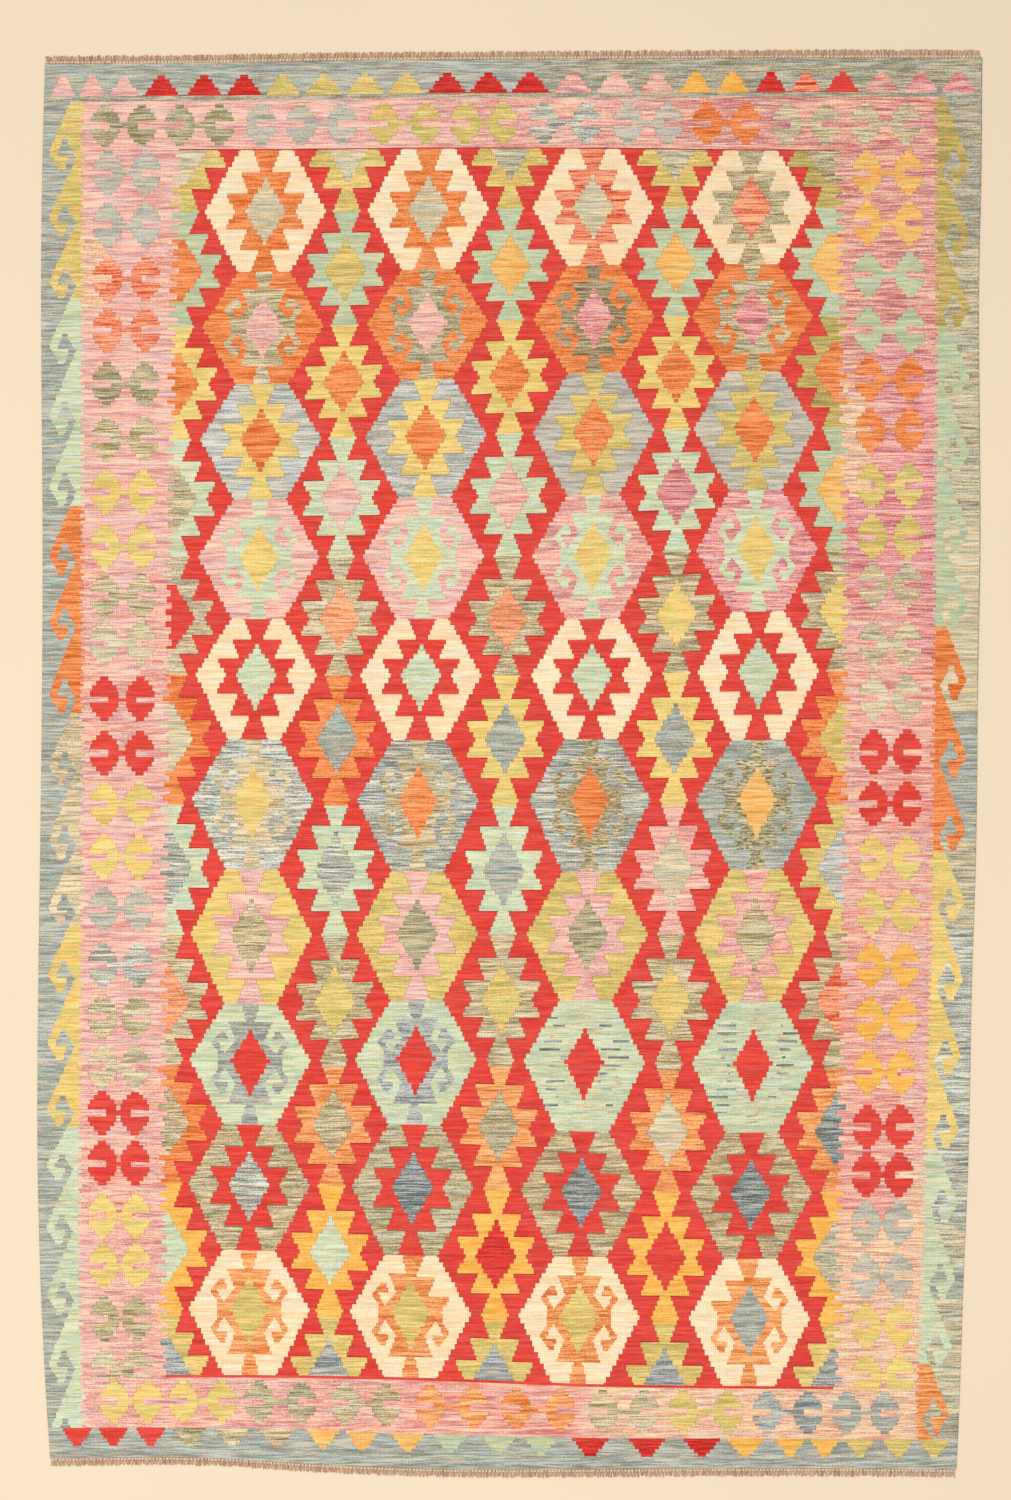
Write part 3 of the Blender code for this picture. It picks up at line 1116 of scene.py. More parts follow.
@dataclass(frozen=True)
class FieldFinish(Weave):
    """The field: hexagons with a star or a hooked figure, and stars on the red between them."""

    hexagon_half: float = 128.6
    hexagon_slope: float = 0.558
    first_flat: float = 37.3
    second_flat: float = 81.0
    waist_half: float = 64.0
    waist_slope: float = 0.543
    shoulder_half: float = 36.9
    shoulder_slope: float = 0.376
    link_half: float = 10.7
    link_slope: float = 0.386
    eye_half: float = 44.5
    eye_slope: float = 0.65
    hooked_eye_half: float = 41.5
    hooked_eye_slope: float = 0.6
    tooth_depth: float = 17.0
    raggedness: float = 38.0
    ragged_across: Mottle = Mottle(14.0, 5.0, 3.0)
    ragged_along: Mottle = Mottle(14.0, 5.0, 8.0)
    fading: Mottle = Mottle(50.0, 6.0, 12.0)
    faded_share: float = 0.56
    clumping: Mottle = Mottle(16.0, 4.0, 20.0)
    clump_share: float = 0.56
    dash_pitch: float = 17.0
    dash_thickness: float = 5.2
    dash_half: float = 171.5
    dash_offset: float = 0.08
    dash_numbers_apart: float = 37.0
    dash_start: float = 30.0
    dash_start_spread: float = 34.0
    shortest_dash: float = -8.0
    dash_spread: float = 54.0
    dash_height: float = 92.0

    def star_half(self, height: Value) -> Value:
        """Half width of a star: waist, shoulder and the link to the next star.

        Args:
            height: Height from its middle.

        Returns:
            The half width there.
        """
        waist = height * self.waist_slope + self.waist_half
        shoulder = height * self.shoulder_slope + (self.shoulder_half - self.first_flat * self.shoulder_slope)
        link = height * self.link_slope + (self.link_half - self.second_flat * self.link_slope)
        wide = waist + (height > self.first_flat) * (shoulder - waist)
        return wide + (height > self.second_flat) * (link - shoulder)

    def flat_line(self, across: Value, height: Value) -> Value:
        """Mask of the dark pick that closes the two flat edges of a star.

        Args:
            across: Distance across from its middle.
            height: Distance along from its middle.

        Returns:
            1 on the pick.
        """
        arm = self.waist_half + self.first_flat * self.waist_slope
        shoulder = self.shoulder_half + (self.second_flat - self.first_flat) * self.shoulder_slope
        low, high = self.first_flat, self.second_flat
        first = Wedge(low, low + self.pick_line, self.shoulder_half, 0.0, arm, 0.0)
        second = Wedge(high, high + self.pick_line, self.link_half, 0.0, shoulder, 0.0)
        return first.mask(across, height) | second.mask(across, height)

    def hooked(self, across: Value, height: Value) -> Value:
        """Mask of the hooked figure.

        Args:
            across: Distance across from its middle.
            height: Distance along from its middle.

        Returns:
            1 inside the figure.
        """
        x = self.mid_rib(across)
        y = self.stepped(height, 0.0, self.block / 2)
        figure = NECK.mask(x, y)
        for part in (BODY, WAIST, BAR, ARM, FOOT):
            figure = figure | part.mask(x, y)
        return figure * (x < ARM_REACH)

    def dash(self, graph: Graph, across: Value, height: Value) -> Value:
        """Mask of stray single picks beside a figure, one to a level and half of a hexagon.

        Args:
            graph: The material.
            across: Distance across from the figure's middle.
            height: Distance along from the figure's middle.

        Returns:
            1 on a stray pick.
        """
        x, y = graph.place()
        level = y / self.dash_pitch
        half = (x / self.dash_half + self.dash_offset).floor()
        number = level.floor() + half * self.dash_numbers_apart
        start = graph.dice(number) * self.dash_start_spread + self.dash_start
        length = graph.dice(number + SECOND_THROW) * self.dash_spread + self.shortest_dash
        thin = level.part() < self.dash_thickness / self.dash_pitch
        return thin * (across > start) * (across < start + length) * (height < self.dash_height)

    def build(self) -> bpy.types.Material:
        """Makes the material.

        Returns:
            The material.
        """
        graph = Graph("woven_field")
        across, height, figure = graph.carried("hexagon")
        aside, rise, beyond = graph.carried("star")
        ground, inner, eye = graph.carried("hexagon_yarns")
        body, pupil, border = graph.carried("star_yarns")
        red = Yarn.RED.number
        step = self.stepped(height, self.first_flat, self.block)
        climb = self.stepped(rise, self.first_flat, self.block)

        outline = self.whole_ribs(self.hexagon_half - step * self.hexagon_slope)
        in_hexagon = across < outline
        star_edge = self.whole_ribs(self.star_half(step))
        eye_edge = self.whole_ribs(self.eye_half - step * self.eye_slope)
        in_star = across < star_edge
        in_eye = across < eye_edge
        x, y = graph.place()
        ragged = figure > Figure.RAGGED.value - 0.5
        winged = (figure > Figure.WINGED.value - 0.5) * (1.0 - ragged)
        dashed = (figure > Figure.DASHED.value - 0.5) * (1.0 - ragged) * (1.0 - winged)
        not_star = figure > Figure.HOOKED.value - 0.5
        astray = ragged * self.raggedness
        in_hooked = self.hooked(
            (across + (self.ragged_across.over(x, y) - 0.5) * astray).size(),
            (height + (self.ragged_along.over(x, y) - 0.5) * astray).size(),
        )
        small_eye = across < self.whole_ribs(self.hooked_eye_half - step * self.hooked_eye_slope)
        faded = dashed * (self.fading.over(x, y) < self.faded_share)
        in_figure = in_star + not_star * (1.0 - winged) * (in_hooked * (1.0 - faded) - in_star)
        in_pupil = in_eye + not_star * (small_eye - in_eye)
        dash = dashed * self.dash(graph, across, height)
        clump = ragged * in_hooked * (self.clumping.over(x, y) > self.clump_share)

        body_edge = self.whole_ribs(self.star_half(climb))
        pupil_edge = self.whole_ribs(self.eye_half - climb * self.eye_slope)
        between = (aside < body_edge) * (body - red) + red
        between = between + (aside < pupil_edge) * (pupil - between)
        between = between + self.flat_line(aside, rise) * (Yarn.MAROON.number - between)

        inside = ground + in_figure * (inner - ground)
        inside = inside + dash * (Yarn.BLUE.number - inside)
        inside = inside + in_pupil * (eye - inside)
        yarn = between + in_hexagon * (inside - between)
        pink = (beyond > 0.01) * (1.0 - self.teeth(graph, beyond, self.tooth_depth))
        yarn = yarn + pink * (border - yarn)

        line = (self.flat_line(across, height) * (1.0 - not_star) | clump * (1.0 - in_pupil)) * in_hexagon
        in_star_hexagon = in_hexagon * (1.0 - not_star)
        slit = in_star_hexagon * (self.slit_at(across, star_edge) | self.slit_at(across, eye_edge))
        at_body = self.slit_at(aside, body_edge) | self.slit_at(aside, pupil_edge)
        slit = self.slit_at(across, outline) | slit | (1.0 - in_hexagon) * at_body
        return self.dress(graph, yarn, slit * (1.0 - pink), line * (1.0 - pink))


@dataclass(frozen=True)
class DiamondFinish(Weave):
    """The pink borders with their paired diamonds, each slotted on the side away from its partner."""

    full_height: float = 48.0
    step_height: float = 9.6
    widest: float = 31.0
    rounding: float = 0.0125
    slot_half: float = 8.1
    slot_start: float = -8.3
    bridge_half: float = 6.0
    turn_width: float = 260.0

    def build(self) -> bpy.types.Material:
        """Makes the material.

        Returns:
            The material.
        """
        graph = Graph("woven_borders")
        outward, height, bridged = graph.carried("hexagon")
        ground, figure, _ = graph.carried("hexagon_yarns")
        ground = self.turned(graph, ground, graph.carried("star_yarns")[0], self.turn_width)
        across = outward.size()
        step = self.stepped(height, 0.0, self.step_height)
        edge = self.whole_ribs((self.widest - step * step * self.rounding) * (height < self.full_height))
        slot = (height < self.slot_half) * (outward > self.slot_start)
        bridge = bridged * (height < self.bridge_half) * (outward < self.slot_start)
        shape = ((across < edge) * (1.0 - slot)) | bridge
        slit = self.slit_at(across, edge) * (height < self.full_height) * (height > self.slot_half)
        return self.dress(graph, ground + shape * (figure - ground), slit)


@dataclass(frozen=True)
class PyramidFinish(Weave):
    """The slate ends with their small stepped pyramids on a base line."""

    tier_height: float = 8.8
    tier_narrowing: float = 0.18
    last_tier: float = 4.5
    turn_width: float = 520.0
    # How strongly the slits show, both in the bump and in their painted shadow.
    slit_share: float = 0.6

    def build(self) -> bpy.types.Material:
        """Makes the material.

        Returns:
            The material.
        """
        graph = Graph("woven_ends")
        across, height, base_half = graph.carried("hexagon")
        ground, figure, line = graph.carried("hexagon_yarns")
        ground = self.turned(graph, ground, Yarn.DARK_KHAKI.number, self.turn_width)
        tier = (height / self.tier_height).floor()
        edge = self.whole_ribs(base_half * (1.0 - tier * self.tier_narrowing))
        in_tiers = (height > 0.0) * (tier < self.last_tier)
        shape = (across < edge) * in_tiers
        yarn = ground + shape * (figure - ground)
        base = (height > 0.0) * (height < self.pick_line) * (line > 0.01)
        yarn = yarn + base * (1.0 - shape) * (line - yarn)
        return self.dress(graph, yarn, self.slit_at(across, edge) * in_tiers * self.slit_share)


@dataclass(frozen=True)
class HookFinish(Weave):
    """The outer borders: long blades that widen downwards and curl into a hook round a small window."""

    hook_block: float = 7.0
    start_half: float = 20.2
    blade_slope: float = 0.446
    widest: float = 64.0
    tail_start: float = 106.6
    hook_inner: float = 22.6
    hook_inner_slope: float = 0.307
    hook_outer_slope: float = 0.5
    next_start: float = 117.3
    next_half: float = 8.1
    next_slope: float = 0.55
    lead_slope: float = -0.74
    window: Wedge = Wedge(low=78.9, high=113.0, inner=63.205, inner_slope=-0.45, outer=-3.25, outer_slope=0.5)
    window_widest: float = 49.0
    tooth_pitch: float = 7.4
    tooth_depth: float = 9.0

    def build(self) -> bpy.types.Material:
        """Makes the material.

        Returns:
            The material.
        """
        graph = Graph("woven_hooks")
        outward, down, beyond = graph.carried("hexagon")
        ground, figure, pink = graph.carried("hexagon_yarns")
        u = self.mid_rib(outward)
        z = self.stepped(down, 0.0, self.hook_block)
        past = z > self.tail_start
        tail = z - self.tail_start
        blade = u < (z * self.blade_slope + self.start_half).least(self.widest)
        after = z - self.next_start
        next_edge = (after | 0.0) * self.next_slope + ((after * self.lead_slope) | 0.0) + self.next_half
        hook = u > tail * self.hook_inner_slope + self.hook_inner
        hook = hook * (u < self.widest - tail * self.hook_outer_slope)
        window = self.window.mask(u, z) * (u < self.window_widest)
        shape = (blade * (1.0 - past) + ((u < next_edge) | hook) * past) * (1.0 - window)
        yarn = ground + shape * (figure - ground)
        teeth = figure + (1.0 - self.teeth(graph, beyond, self.tooth_depth)) * (pink - figure)
        return self.dress(graph, yarn + (beyond > 0.01) * (teeth - yarn))


# ----------------------------------------------------------------------------------------------- the cloth


def closed_piece(
    name: str, corners: list, faces: list, carried: dict[str, list], flat: list
) -> bpy.types.Object:
    """Makes a piece of its corners and faces.

    Args:
        name: The piece's name.
        corners: Places of the corners, in metres.
        faces: The corners of each face, in order round it.
        carried: By name, three numbers for each corner of each face.
        flat: Place on the flat map of each corner of each face.

    Returns:
        The piece.
    """
    mesh = bpy.data.meshes.new(name)
    mesh.from_pydata(corners, [], faces)
    for each, values in carried.items():
        layer = mesh.attributes.new(each, "FLOAT_VECTOR", "CORNER")
        layer.data.foreach_set("vector", [number for value in values for number in value])
    flat_map = mesh.uv_layers.new(name="OFBake")
    flat_map.data.foreach_set("uv", [number for place in flat for number in place])
    mesh.shade_smooth()
    mesh.validate()
    piece = bpy.data.objects.new(name, mesh)
    bpy.context.collection.objects.link(piece)
    return piece


class Spot(NamedTuple):
    """One corner of a face: the chart place of the face's middle, and the corner's real and chart places."""

    u: float
    v: float
    x: float
    y: float
    height: float


class Corner(NamedTuple):
    """What one corner of a face carries: its place in one or two motifs, and the yarns of those."""

    hexagon: tuple[float, float, float]
    star: tuple[float, float, float]
    hexagon_yarns: tuple[float, float, float]
    star_yarns: tuple[float, float, float]


NOTHING = (0.0, 0.0, 0.0)
UNTURNED = (-1000.0, 0.0, 0.0)


def nearest(places: list[float], at: float) -> int:
    """Index of the place that is nearest to another."""
    return min(range(len(places)), key=lambda i: abs(places[i] - at))


@dataclass
class Cloth:
    """The woven cloth: one closed sheet whose faces follow the weaver's lines.

    Sizes are in millimetres.
    """

    name: str = "kilim_cloth"
    comb_width: float = 21.0
    hook_comb_width: float = 11.0
    top_line: float = 2.6
    bottom_line: float = 6.0
    line_margins: tuple[float, float] = (5.0, 8.0)
    widest_gap: float = 34.0
    closest: float = 4.0
    hook_pitch: float = 144.1
    half_row: float = 127.9
    end_diamond_stretch: float = 1.06
    widest_pyramid: float = 39.0
    top_pyramid_share: float = 0.43
    bottom_pyramid_share: float = 0.4
    bottom_pyramid_stretch: float = 1.12
    rim: tuple[tuple[float, float], ...] = ((0.0, 1.5), (0.7, 2.7), (2.2, 3.3), (5.0, 3.6))
    foot_lift: float = 0.5
    foot_width: float = 1.0
    hair: float = 0.001
    swell_waves: tuple[tuple[float, float, float], ...] = ((5.1, 1.3, 0.0), (-1.9, 3.7, 0.6))
    chart: Chart = field(default_factory=Chart)

    def __post_init__(self) -> None:
        """Finds the usual places of the field's lines, of the hexagons' waists and of the columns."""
        usual = self.chart.usual
        self.field_places = [usual[f"field_{k}"] for k in range(len(STAR_ROWS))]
        pairs = zip(HEXAGON_ROWS, self.field_places, self.field_places[1:])
        self.waists = [(low + high) / 2 + row.lift for row, high, low in pairs]
        self.hexagon_places = [usual[name] for name in HEXAGON_COLUMNS]
        self.star_places = [usual[name] for name in STAR_COLUMNS]
        self.diamond_axes = {
            side: (usual[f"diamond_{word}_outer"] + usual[f"diamond_{word}_inner"]) / 2
            for side, word in ((LEFT, "left"), (RIGHT, "right"))
        }

    def spread(self, firm: list[float], extra: list[float]) -> list[float]:
        """Lines of the mesh in one direction.

        Args:
            firm: Lines that stay where they are.
            extra: Lines that are left out where another is closer than the smallest gap.

        Returns:
            All of them in rising order, with more between where a gap would be wide.
        """
        lines = sorted(set(firm))
        for place in sorted(extra):
            if min(abs(place - line) for line in lines) >= self.closest:
                lines.append(place)
        lines.sort()
        filled = []
        for low, high in zip(lines, lines[1:]):
            count = max(1, math.ceil((high - low) / self.widest_gap))
            filled.extend(low + (high - low) * i / count for i in range(count))
        return [*filled, lines[-1]]

    def rim_lines(self, places: list[float]) -> list[float]:
        """Lines that round the rim, inside the first and the last of some places."""
        return [places[0] + inset for inset, _ in self.rim] + [places[-1] - inset for inset, _ in self.rim]

    @staticmethod
    def motif_lines(motifs: list[Place], chart_place: Callable, at: float) -> list[float]:
        """Chart places of motifs and of the cuts halfway between neighbours."""
        cuts = [(one.at + other.at) / 2 for one, other in zip(motifs, motifs[1:])]
        return [chart_place(place, at) for place in (*cuts, *(motif.at for motif in motifs))]

    def columns(self) -> list[float]:
        """Lines of the mesh that run along the rug.

        Returns:
            Their chart places.
        """
        chart, usual = self.chart, self.chart.usual
        firm = [*chart.column_places, *self.rim_lines(chart.column_places), *self.diamond_axes.values()]
        firm += [usual["hooks_left"] + self.hook_comb_width, usual["hooks_right"] - self.hook_comb_width]
        firm += [usual["field_left"] - self.comb_width, usual["field_right"] + self.comb_width]
        extra = []
        for end in (TOP, BOTTOM):
            extra += self.motif_lines(END_DIAMONDS[end], chart.chart_across, END_DIAMONDS_ALONG[end])
            extra += self.motif_lines(PYRAMIDS[end], chart.chart_across, PYRAMIDS_ALONG[end])
        return self.spread(firm, extra)

    def rows(self) -> list[float]:
        """Lines of the mesh that run across the rug.

        Returns:
            Their chart places.
        """
        chart, usual = self.chart, self.chart.usual
        top, bottom = self.field_places[0], self.field_places[-1]
        firm = [*chart.row_places, *self.rim_lines(chart.row_places), *self.waists]
        firm += [top + self.top_line / 2, top - self.top_line / 2, bottom - self.bottom_line]
        firm += [(top + usual["top_pink"]) / 2, (bottom + usual["bottom_pyramids"]) / 2]
        extra = []
        for side in (LEFT, RIGHT):
            extra += self.motif_lines(SIDE_DIAMONDS[side], chart.chart_along, SIDE_DIAMONDS_ACROSS[side])
            extra += [chart.chart_along(start.at, HOOKS_ACROSS[side]) for start in HOOKS[side]]
        return self.spread(firm, extra)

    def field_corner(self, spot: Spot) -> Corner:
        """What a corner carries in the field.

        Args:
            spot: The corner.

        Returns:
            Its place in its hexagon and its star, and the yarns of both.
        """
        chart, usual = self.chart, self.chart.usual
        star = nearest(self.star_places, spot.u)
        hexagon = nearest(self.hexagon_places, spot.u)
        line = nearest(self.field_places, spot.v)
        row = next(k for k in range(len(HEXAGON_ROWS)) if self.field_places[k + 1] <= spot.v)
        middle = self.waists[row]
        end = TOP if spot.v > middle else BOTTOM
        half = self.field_places[row] - middle if end == TOP else middle - self.field_places[row + 1]
        height = abs(spot.height - middle) / half * self.half_row
        beyond = max(
            chart.column("field_left", spot.y) - spot.x if spot.u < usual["field_left"] else 0.0,
            spot.x - chart.column("field_right", spot.y) if spot.u > usual["field_right"] else 0.0,
            0.0,
        )
        aside = spot.x - chart.column(STAR_COLUMNS[star], spot.y)
        if star in (0, len(STAR_COLUMNS) - 1):
            aside = max(aside if star == 0 else -aside, 0.0)
        side = RIGHT if spot.u > self.hexagon_places[hexagon] else LEFT
        yarns, star_yarns = HEXAGON_ROWS[row], STAR_ROWS[line]
        figure = OTHER_FIGURES.get((row, hexagon), yarns.figure)
        if Quarter(row, hexagon, side, end) in WINGED_QUARTERS:
            figure = Figure.WINGED
        ground = SIDE_GROUNDS[LEFT if star < 2 else RIGHT][2]
        return Corner(
            (abs(spot.x - chart.column(HEXAGON_COLUMNS[hexagon], spot.y)), height, figure.value),
            (abs(aside), self.half_row - height, beyond),
            (
                yarns.ground[hexagon].lot(0, row, hexagon),
                yarns.inner[hexagon].lot(1, row, hexagon),
                yarns.eye[hexagon].lot(2, row, hexagon),
            ),
            (
                star_yarns.body[star].lot(3, line, star),
                star_yarns.eye[star].lot(4, line, star),
                falling(ground, spot.v).number,
            ),
        )

    def side_corner(self, spot: Spot) -> Corner:
        """What a corner carries in a side border of diamonds.

        Args:
            spot: The corner.

        Returns:
            Its place in its diamond, and the yarns.
        """
        side = LEFT if spot.u < 0 else RIGHT
        axis = self.diamond_axes[side]
        which = 0 if spot.u < axis else 1
        facing = LEFT if which == 0 else RIGHT
        word = "left" if side == LEFT else "right"
        name = f"diamond_{word}_{'outer' if facing == side else 'inner'}"
        _, real = self.chart.real(spot.u, spot.v)
        motif = SIDE_DIAMONDS[side][nearest([place.at for place in SIDE_DIAMONDS[side]], real)]
        strip = 1
        if abs(spot.u - axis) > abs(self.chart.usual[name] - axis):
            strip = 0 if facing == side else 2
        ground = falling(SIDE_GROUNDS[side][strip], real).number
        return Corner(
            ((spot.x - self.chart.column(name, spot.y)) * facing, abs(spot.y - motif.at), 1.0),
            UNTURNED,
            (ground, motif.yarn.lot(5, side, round(motif.at), which), 0.0),
            NOTHING,
        )

    def end_corner(self, spot: Spot) -> Corner:
        """What a corner carries in an end row of diamonds.

        Args:
            spot: The corner.

        Returns:
            Its place in its diamond, how far the ground has turned, and the yarns.
        """
        end = TOP if spot.v > 0 else BOTTOM
        lines = ("top_pink", "field_0") if end == TOP else ("field_10", "bottom_pyramids")
        real, _ = self.chart.real(spot.u, spot.v)
        which = nearest([place.at for place in END_DIAMONDS[end]], real)
        motif = END_DIAMONDS[end][which]
        lone = end == TOP and which == LONE_TOP_DIAMOND
        first = which % 2 == (0 if end == BOTTOM or which < LONE_TOP_DIAMOND else 1)
        facing = LEFT if first and not lone else RIGHT
        height = abs(spot.y - (self.chart.row(lines[0], spot.x) + self.chart.row(lines[1], spot.x)) / 2)
        before, after = nearest_turn(END_GROUNDS[end], real)
        return Corner(
            ((spot.x - motif.at) * facing, height * self.end_diamond_stretch, 0.0 if lone else 1.0),
            (spot.x - before.end, 0.0, 0.0),
            (before.yarn.number, motif.yarn.lot(6, end == TOP, which), 0.0),
            (after.yarn.number, 0.0, 0.0),
        )

    def pyramid_corner(self, spot: Spot) -> Corner:
        """What a corner carries in an end's slate ground.

        Args:
            spot: The corner.

        Returns:
            Its place in its pyramid, how far the ground has turned, and the yarns.
        """
        at_top = spot.v > 0
        places = [place.at for place in PYRAMIDS[TOP if at_top else BOTTOM]]
        real, _ = self.chart.real(spot.u, spot.v)
        which = nearest(places, real)
        motif = PYRAMIDS[TOP if at_top else BOTTOM][which]
        pitch = min(abs(at - motif.at) for i, at in enumerate(places) if i != which)
        height = spot.y - self.chart.row("top_pyramids" if at_top else "bottom_pyramids", spot.x)
        lined = at_top and motif.yarn in (Yarn.DEEP_RED, Yarn.RED, Yarn.CORAL)
        half = (self.top_pyramid_share if at_top else self.bottom_pyramid_share) * pitch
        return Corner(
            (
                abs(spot.x - motif.at),
                height * (1.0 if at_top else -self.bottom_pyramid_stretch),
                min(half, self.widest_pyramid),
            ),
            (spot.x - TOP_TURNS_KHAKI if at_top else UNTURNED[0], 0.0, 0.0),
            (Yarn.SLATE.number, motif.yarn.lot(7, at_top, which), Yarn.MAROON.number if lined else 0.0),
            NOTHING,
        )

    def hook_corner(self, spot: Spot) -> Corner:
        """What a corner carries in an outer border of hooks.

        Args:
            spot: The corner.

        Returns:
            Its place in its hook, and the yarns of the ground, the hook and the pink beside it.
        """
        side = LEFT if spot.u < 0 else RIGHT
        hooks = HOOKS[side]
        _, real = self.chart.real(spot.u, spot.v)
        which = max(0, sum(1 for start in hooks if start.at > real) - 1)
        last = which == len(hooks) - 1
        pitch = self.hook_pitch if last else hooks[which].at - hooks[which + 1].at
        outward = (spot.x - self.chart.column("hooks_left" if side == LEFT else "hooks_right", spot.y)) * side
        down = (hooks[which].at - spot.y) / pitch * self.hook_pitch
        ground = falling(OUTSIDE_GROUNDS[side], real).number
        pink = falling(SIDE_GROUNDS[side][0], real).number
        return Corner(
            (max(outward, 0.0), down, max(-outward, 0.0)),
            NOTHING,
            (ground, hooks[which].yarn.lot(8, side, which), pink),
            NOTHING,
        )

    def slot_of(self, u: float, v: float) -> Slot | Yarn:
        """Which stretch of the cloth a chart place is in.

        Args:
            u: Chart place across.
            v: Chart place along.

        Returns:
            The stretch, or the plain yarn of a line or a selvedge.
        """
        usual = self.chart.usual
        top, bottom = self.field_places[0], self.field_places[-1]
        if u > usual["right"] - self.rim[2][0] and v > SELVEDGE_TURNS_PLAIN:
            return Yarn.UMBER if v > SELVEDGE_TURNS_KHAKI else Yarn.DARK_KHAKI
        if v > usual["top_pyramids"] or v < usual["bottom_pyramids"]:
            return Slot.PYRAMIDS
        if v > usual["top_pink"]:
            return Yarn.DARK_KHAKI
        if not usual["hooks_left"] + self.hook_comb_width <= u <= usual["hooks_right"] - self.hook_comb_width:
            return Slot.HOOKS
        left_margin, right_margin = self.line_margins
        if usual["field_left"] - left_margin < u < usual["field_right"] + right_margin:
            if abs(v - top) < self.top_line / 2:
                return Yarn.MAROON
            if bottom - self.bottom_line < v < bottom:
                return Yarn.RED
        in_columns = usual["field_left"] - self.comb_width < u < usual["field_right"] + self.comb_width
        return Slot.FIELD if in_columns and bottom < v < top else Slot.DIAMONDS

    def corner(self, place: Slot | Yarn, spot: Spot) -> Corner:
        """What a corner carries, wherever it is.

        Args:
            place: The stretch of the cloth, or the plain yarn.
            spot: The corner.

        Returns:
            What it carries.
        """
        if isinstance(place, Yarn):
            return Corner(NOTHING, UNTURNED, (place.number,) * 3, NOTHING)
        if place is Slot.FIELD:
            return self.field_corner(spot)
        if place is Slot.PYRAMIDS:
            return self.pyramid_corner(spot)
        if place is Slot.HOOKS:
            return self.hook_corner(spot)
        if self.field_places[-1] - self.bottom_line < spot.v < self.field_places[0] + self.top_line / 2:
            return self.side_corner(spot)
        return self.end_corner(spot)

    def height(self, x: float, y: float, inset: float) -> float:
        """Height of the face of the cloth, in metres: it swells a little, and rounds down at the rim.

        Args:
            x: Real place across, in metres.
            y: Real place along, in metres.
            inset: Distance from the nearest edge, in millimetres.

        Returns:
            The height.
        """
        swell = SWELL * math.prod(math.sin(a * x + b * y + start) for a, b, start in self.swell_waves)
        for (near, low), (far, high) in zip(self.rim, self.rim[1:]):
            if inset < far - self.hair:
                share = (inset - near) / (far - near)
                return (low + (high - low) * share) * MM + swell * share
        return CLOTH_THICKNESS + swell

    def build(self) -> bpy.types.Object:
        """Makes the sheet: its face, rounded rim and flat underside, and what each corner carries.

        Returns:
            The piece.
        """
        columns, rows = self.columns(), self.rows()
        grid = [(i, j) for j in range(len(rows)) for i in range(len(columns))]
        points = {(i, j): self.chart.real(columns[i], rows[j]) for i, j in grid}
        low_x, low_y = (min(point[k] for point in points.values()) for k in (0, 1))
        low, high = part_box("cloth")
        self.shift = (low[0] - low_x * MM, low[1] - low_y * MM)
        span_x, span_y = high[0] - low[0], high[1] - low[1]

        def inset(i: int, j: int) -> float:
            """Distance of a grid point from the nearest edge, in chart millimetres."""
            across = min(columns[i] - columns[0], columns[-1] - columns[i])
            return min(across, rows[j] - rows[0], rows[-1] - rows[j])

        corners, face_index, under_index = [], {}, {}
        for i, j in grid:
            x, y = (c * MM for c in points[i, j])
            face_index[i, j] = len(corners)
            corners.append((x + self.shift[0], y + self.shift[1], self.height(x, y, inset(i, j))))
        for i, j in grid:
            under_index[i, j] = face_index[i, j]
            if inset(i, j) >= self.hair:
                x, y, _ = corners[face_index[i, j]]
                under_index[i, j] = len(corners)
                corners.append((x, y, self.foot_lift * MM if inset(i, j) < self.foot_width else 0.0))

        faces, slots, flat = [], [], []
        carried = {name: [] for name in Corner._fields}
        for i, j in grid:
            if i == len(columns) - 1 or j == len(rows) - 1:
                continue
            middle = ((columns[i] + columns[i + 1]) / 2, (rows[j] + rows[j + 1]) / 2)
            place = self.slot_of(*middle)
            ring = ((i, j), (i + 1, j), (i + 1, j + 1), (i, j + 1))
            said = [self.corner(place, Spot(*middle, *points[at], rows[at[1]])) for at in ring]
            mapped = [
                ((points[at][0] - low_x) * MM / span_x, (points[at][1] - low_y) * MM / span_y) for at in ring
            ]
            for index, order in ((face_index, (0, 1, 2, 3)), (under_index, (3, 2, 1, 0))):
                faces.append([index[ring[k]] for k in order])
                slots.append(place.value if isinstance(place, Slot) else Slot.DIAMONDS.value)
                flat.extend(mapped[k] for k in order)
                for name, values in carried.items():
                    values.extend(getattr(said[k], name) for k in order)

        piece = closed_piece(self.name, corners, faces, carried, flat)
        piece.data.polygons.foreach_set("material_index", slots)
        LOG.info("%s: %d by %d lines, %d faces", self.name, len(columns), len(rows), len(faces))
        return piece

    def dress(self, piece: bpy.types.Object) -> None:
        """Gives the sheet its finishes, one for each stretch."""
        for finish in (FieldFinish(), DiamondFinish(), PyramidFinish(), HookFinish()):
            piece.data.materials.append(finish.build())


# ---------------------------------------------------------------------------------------------- the fringe


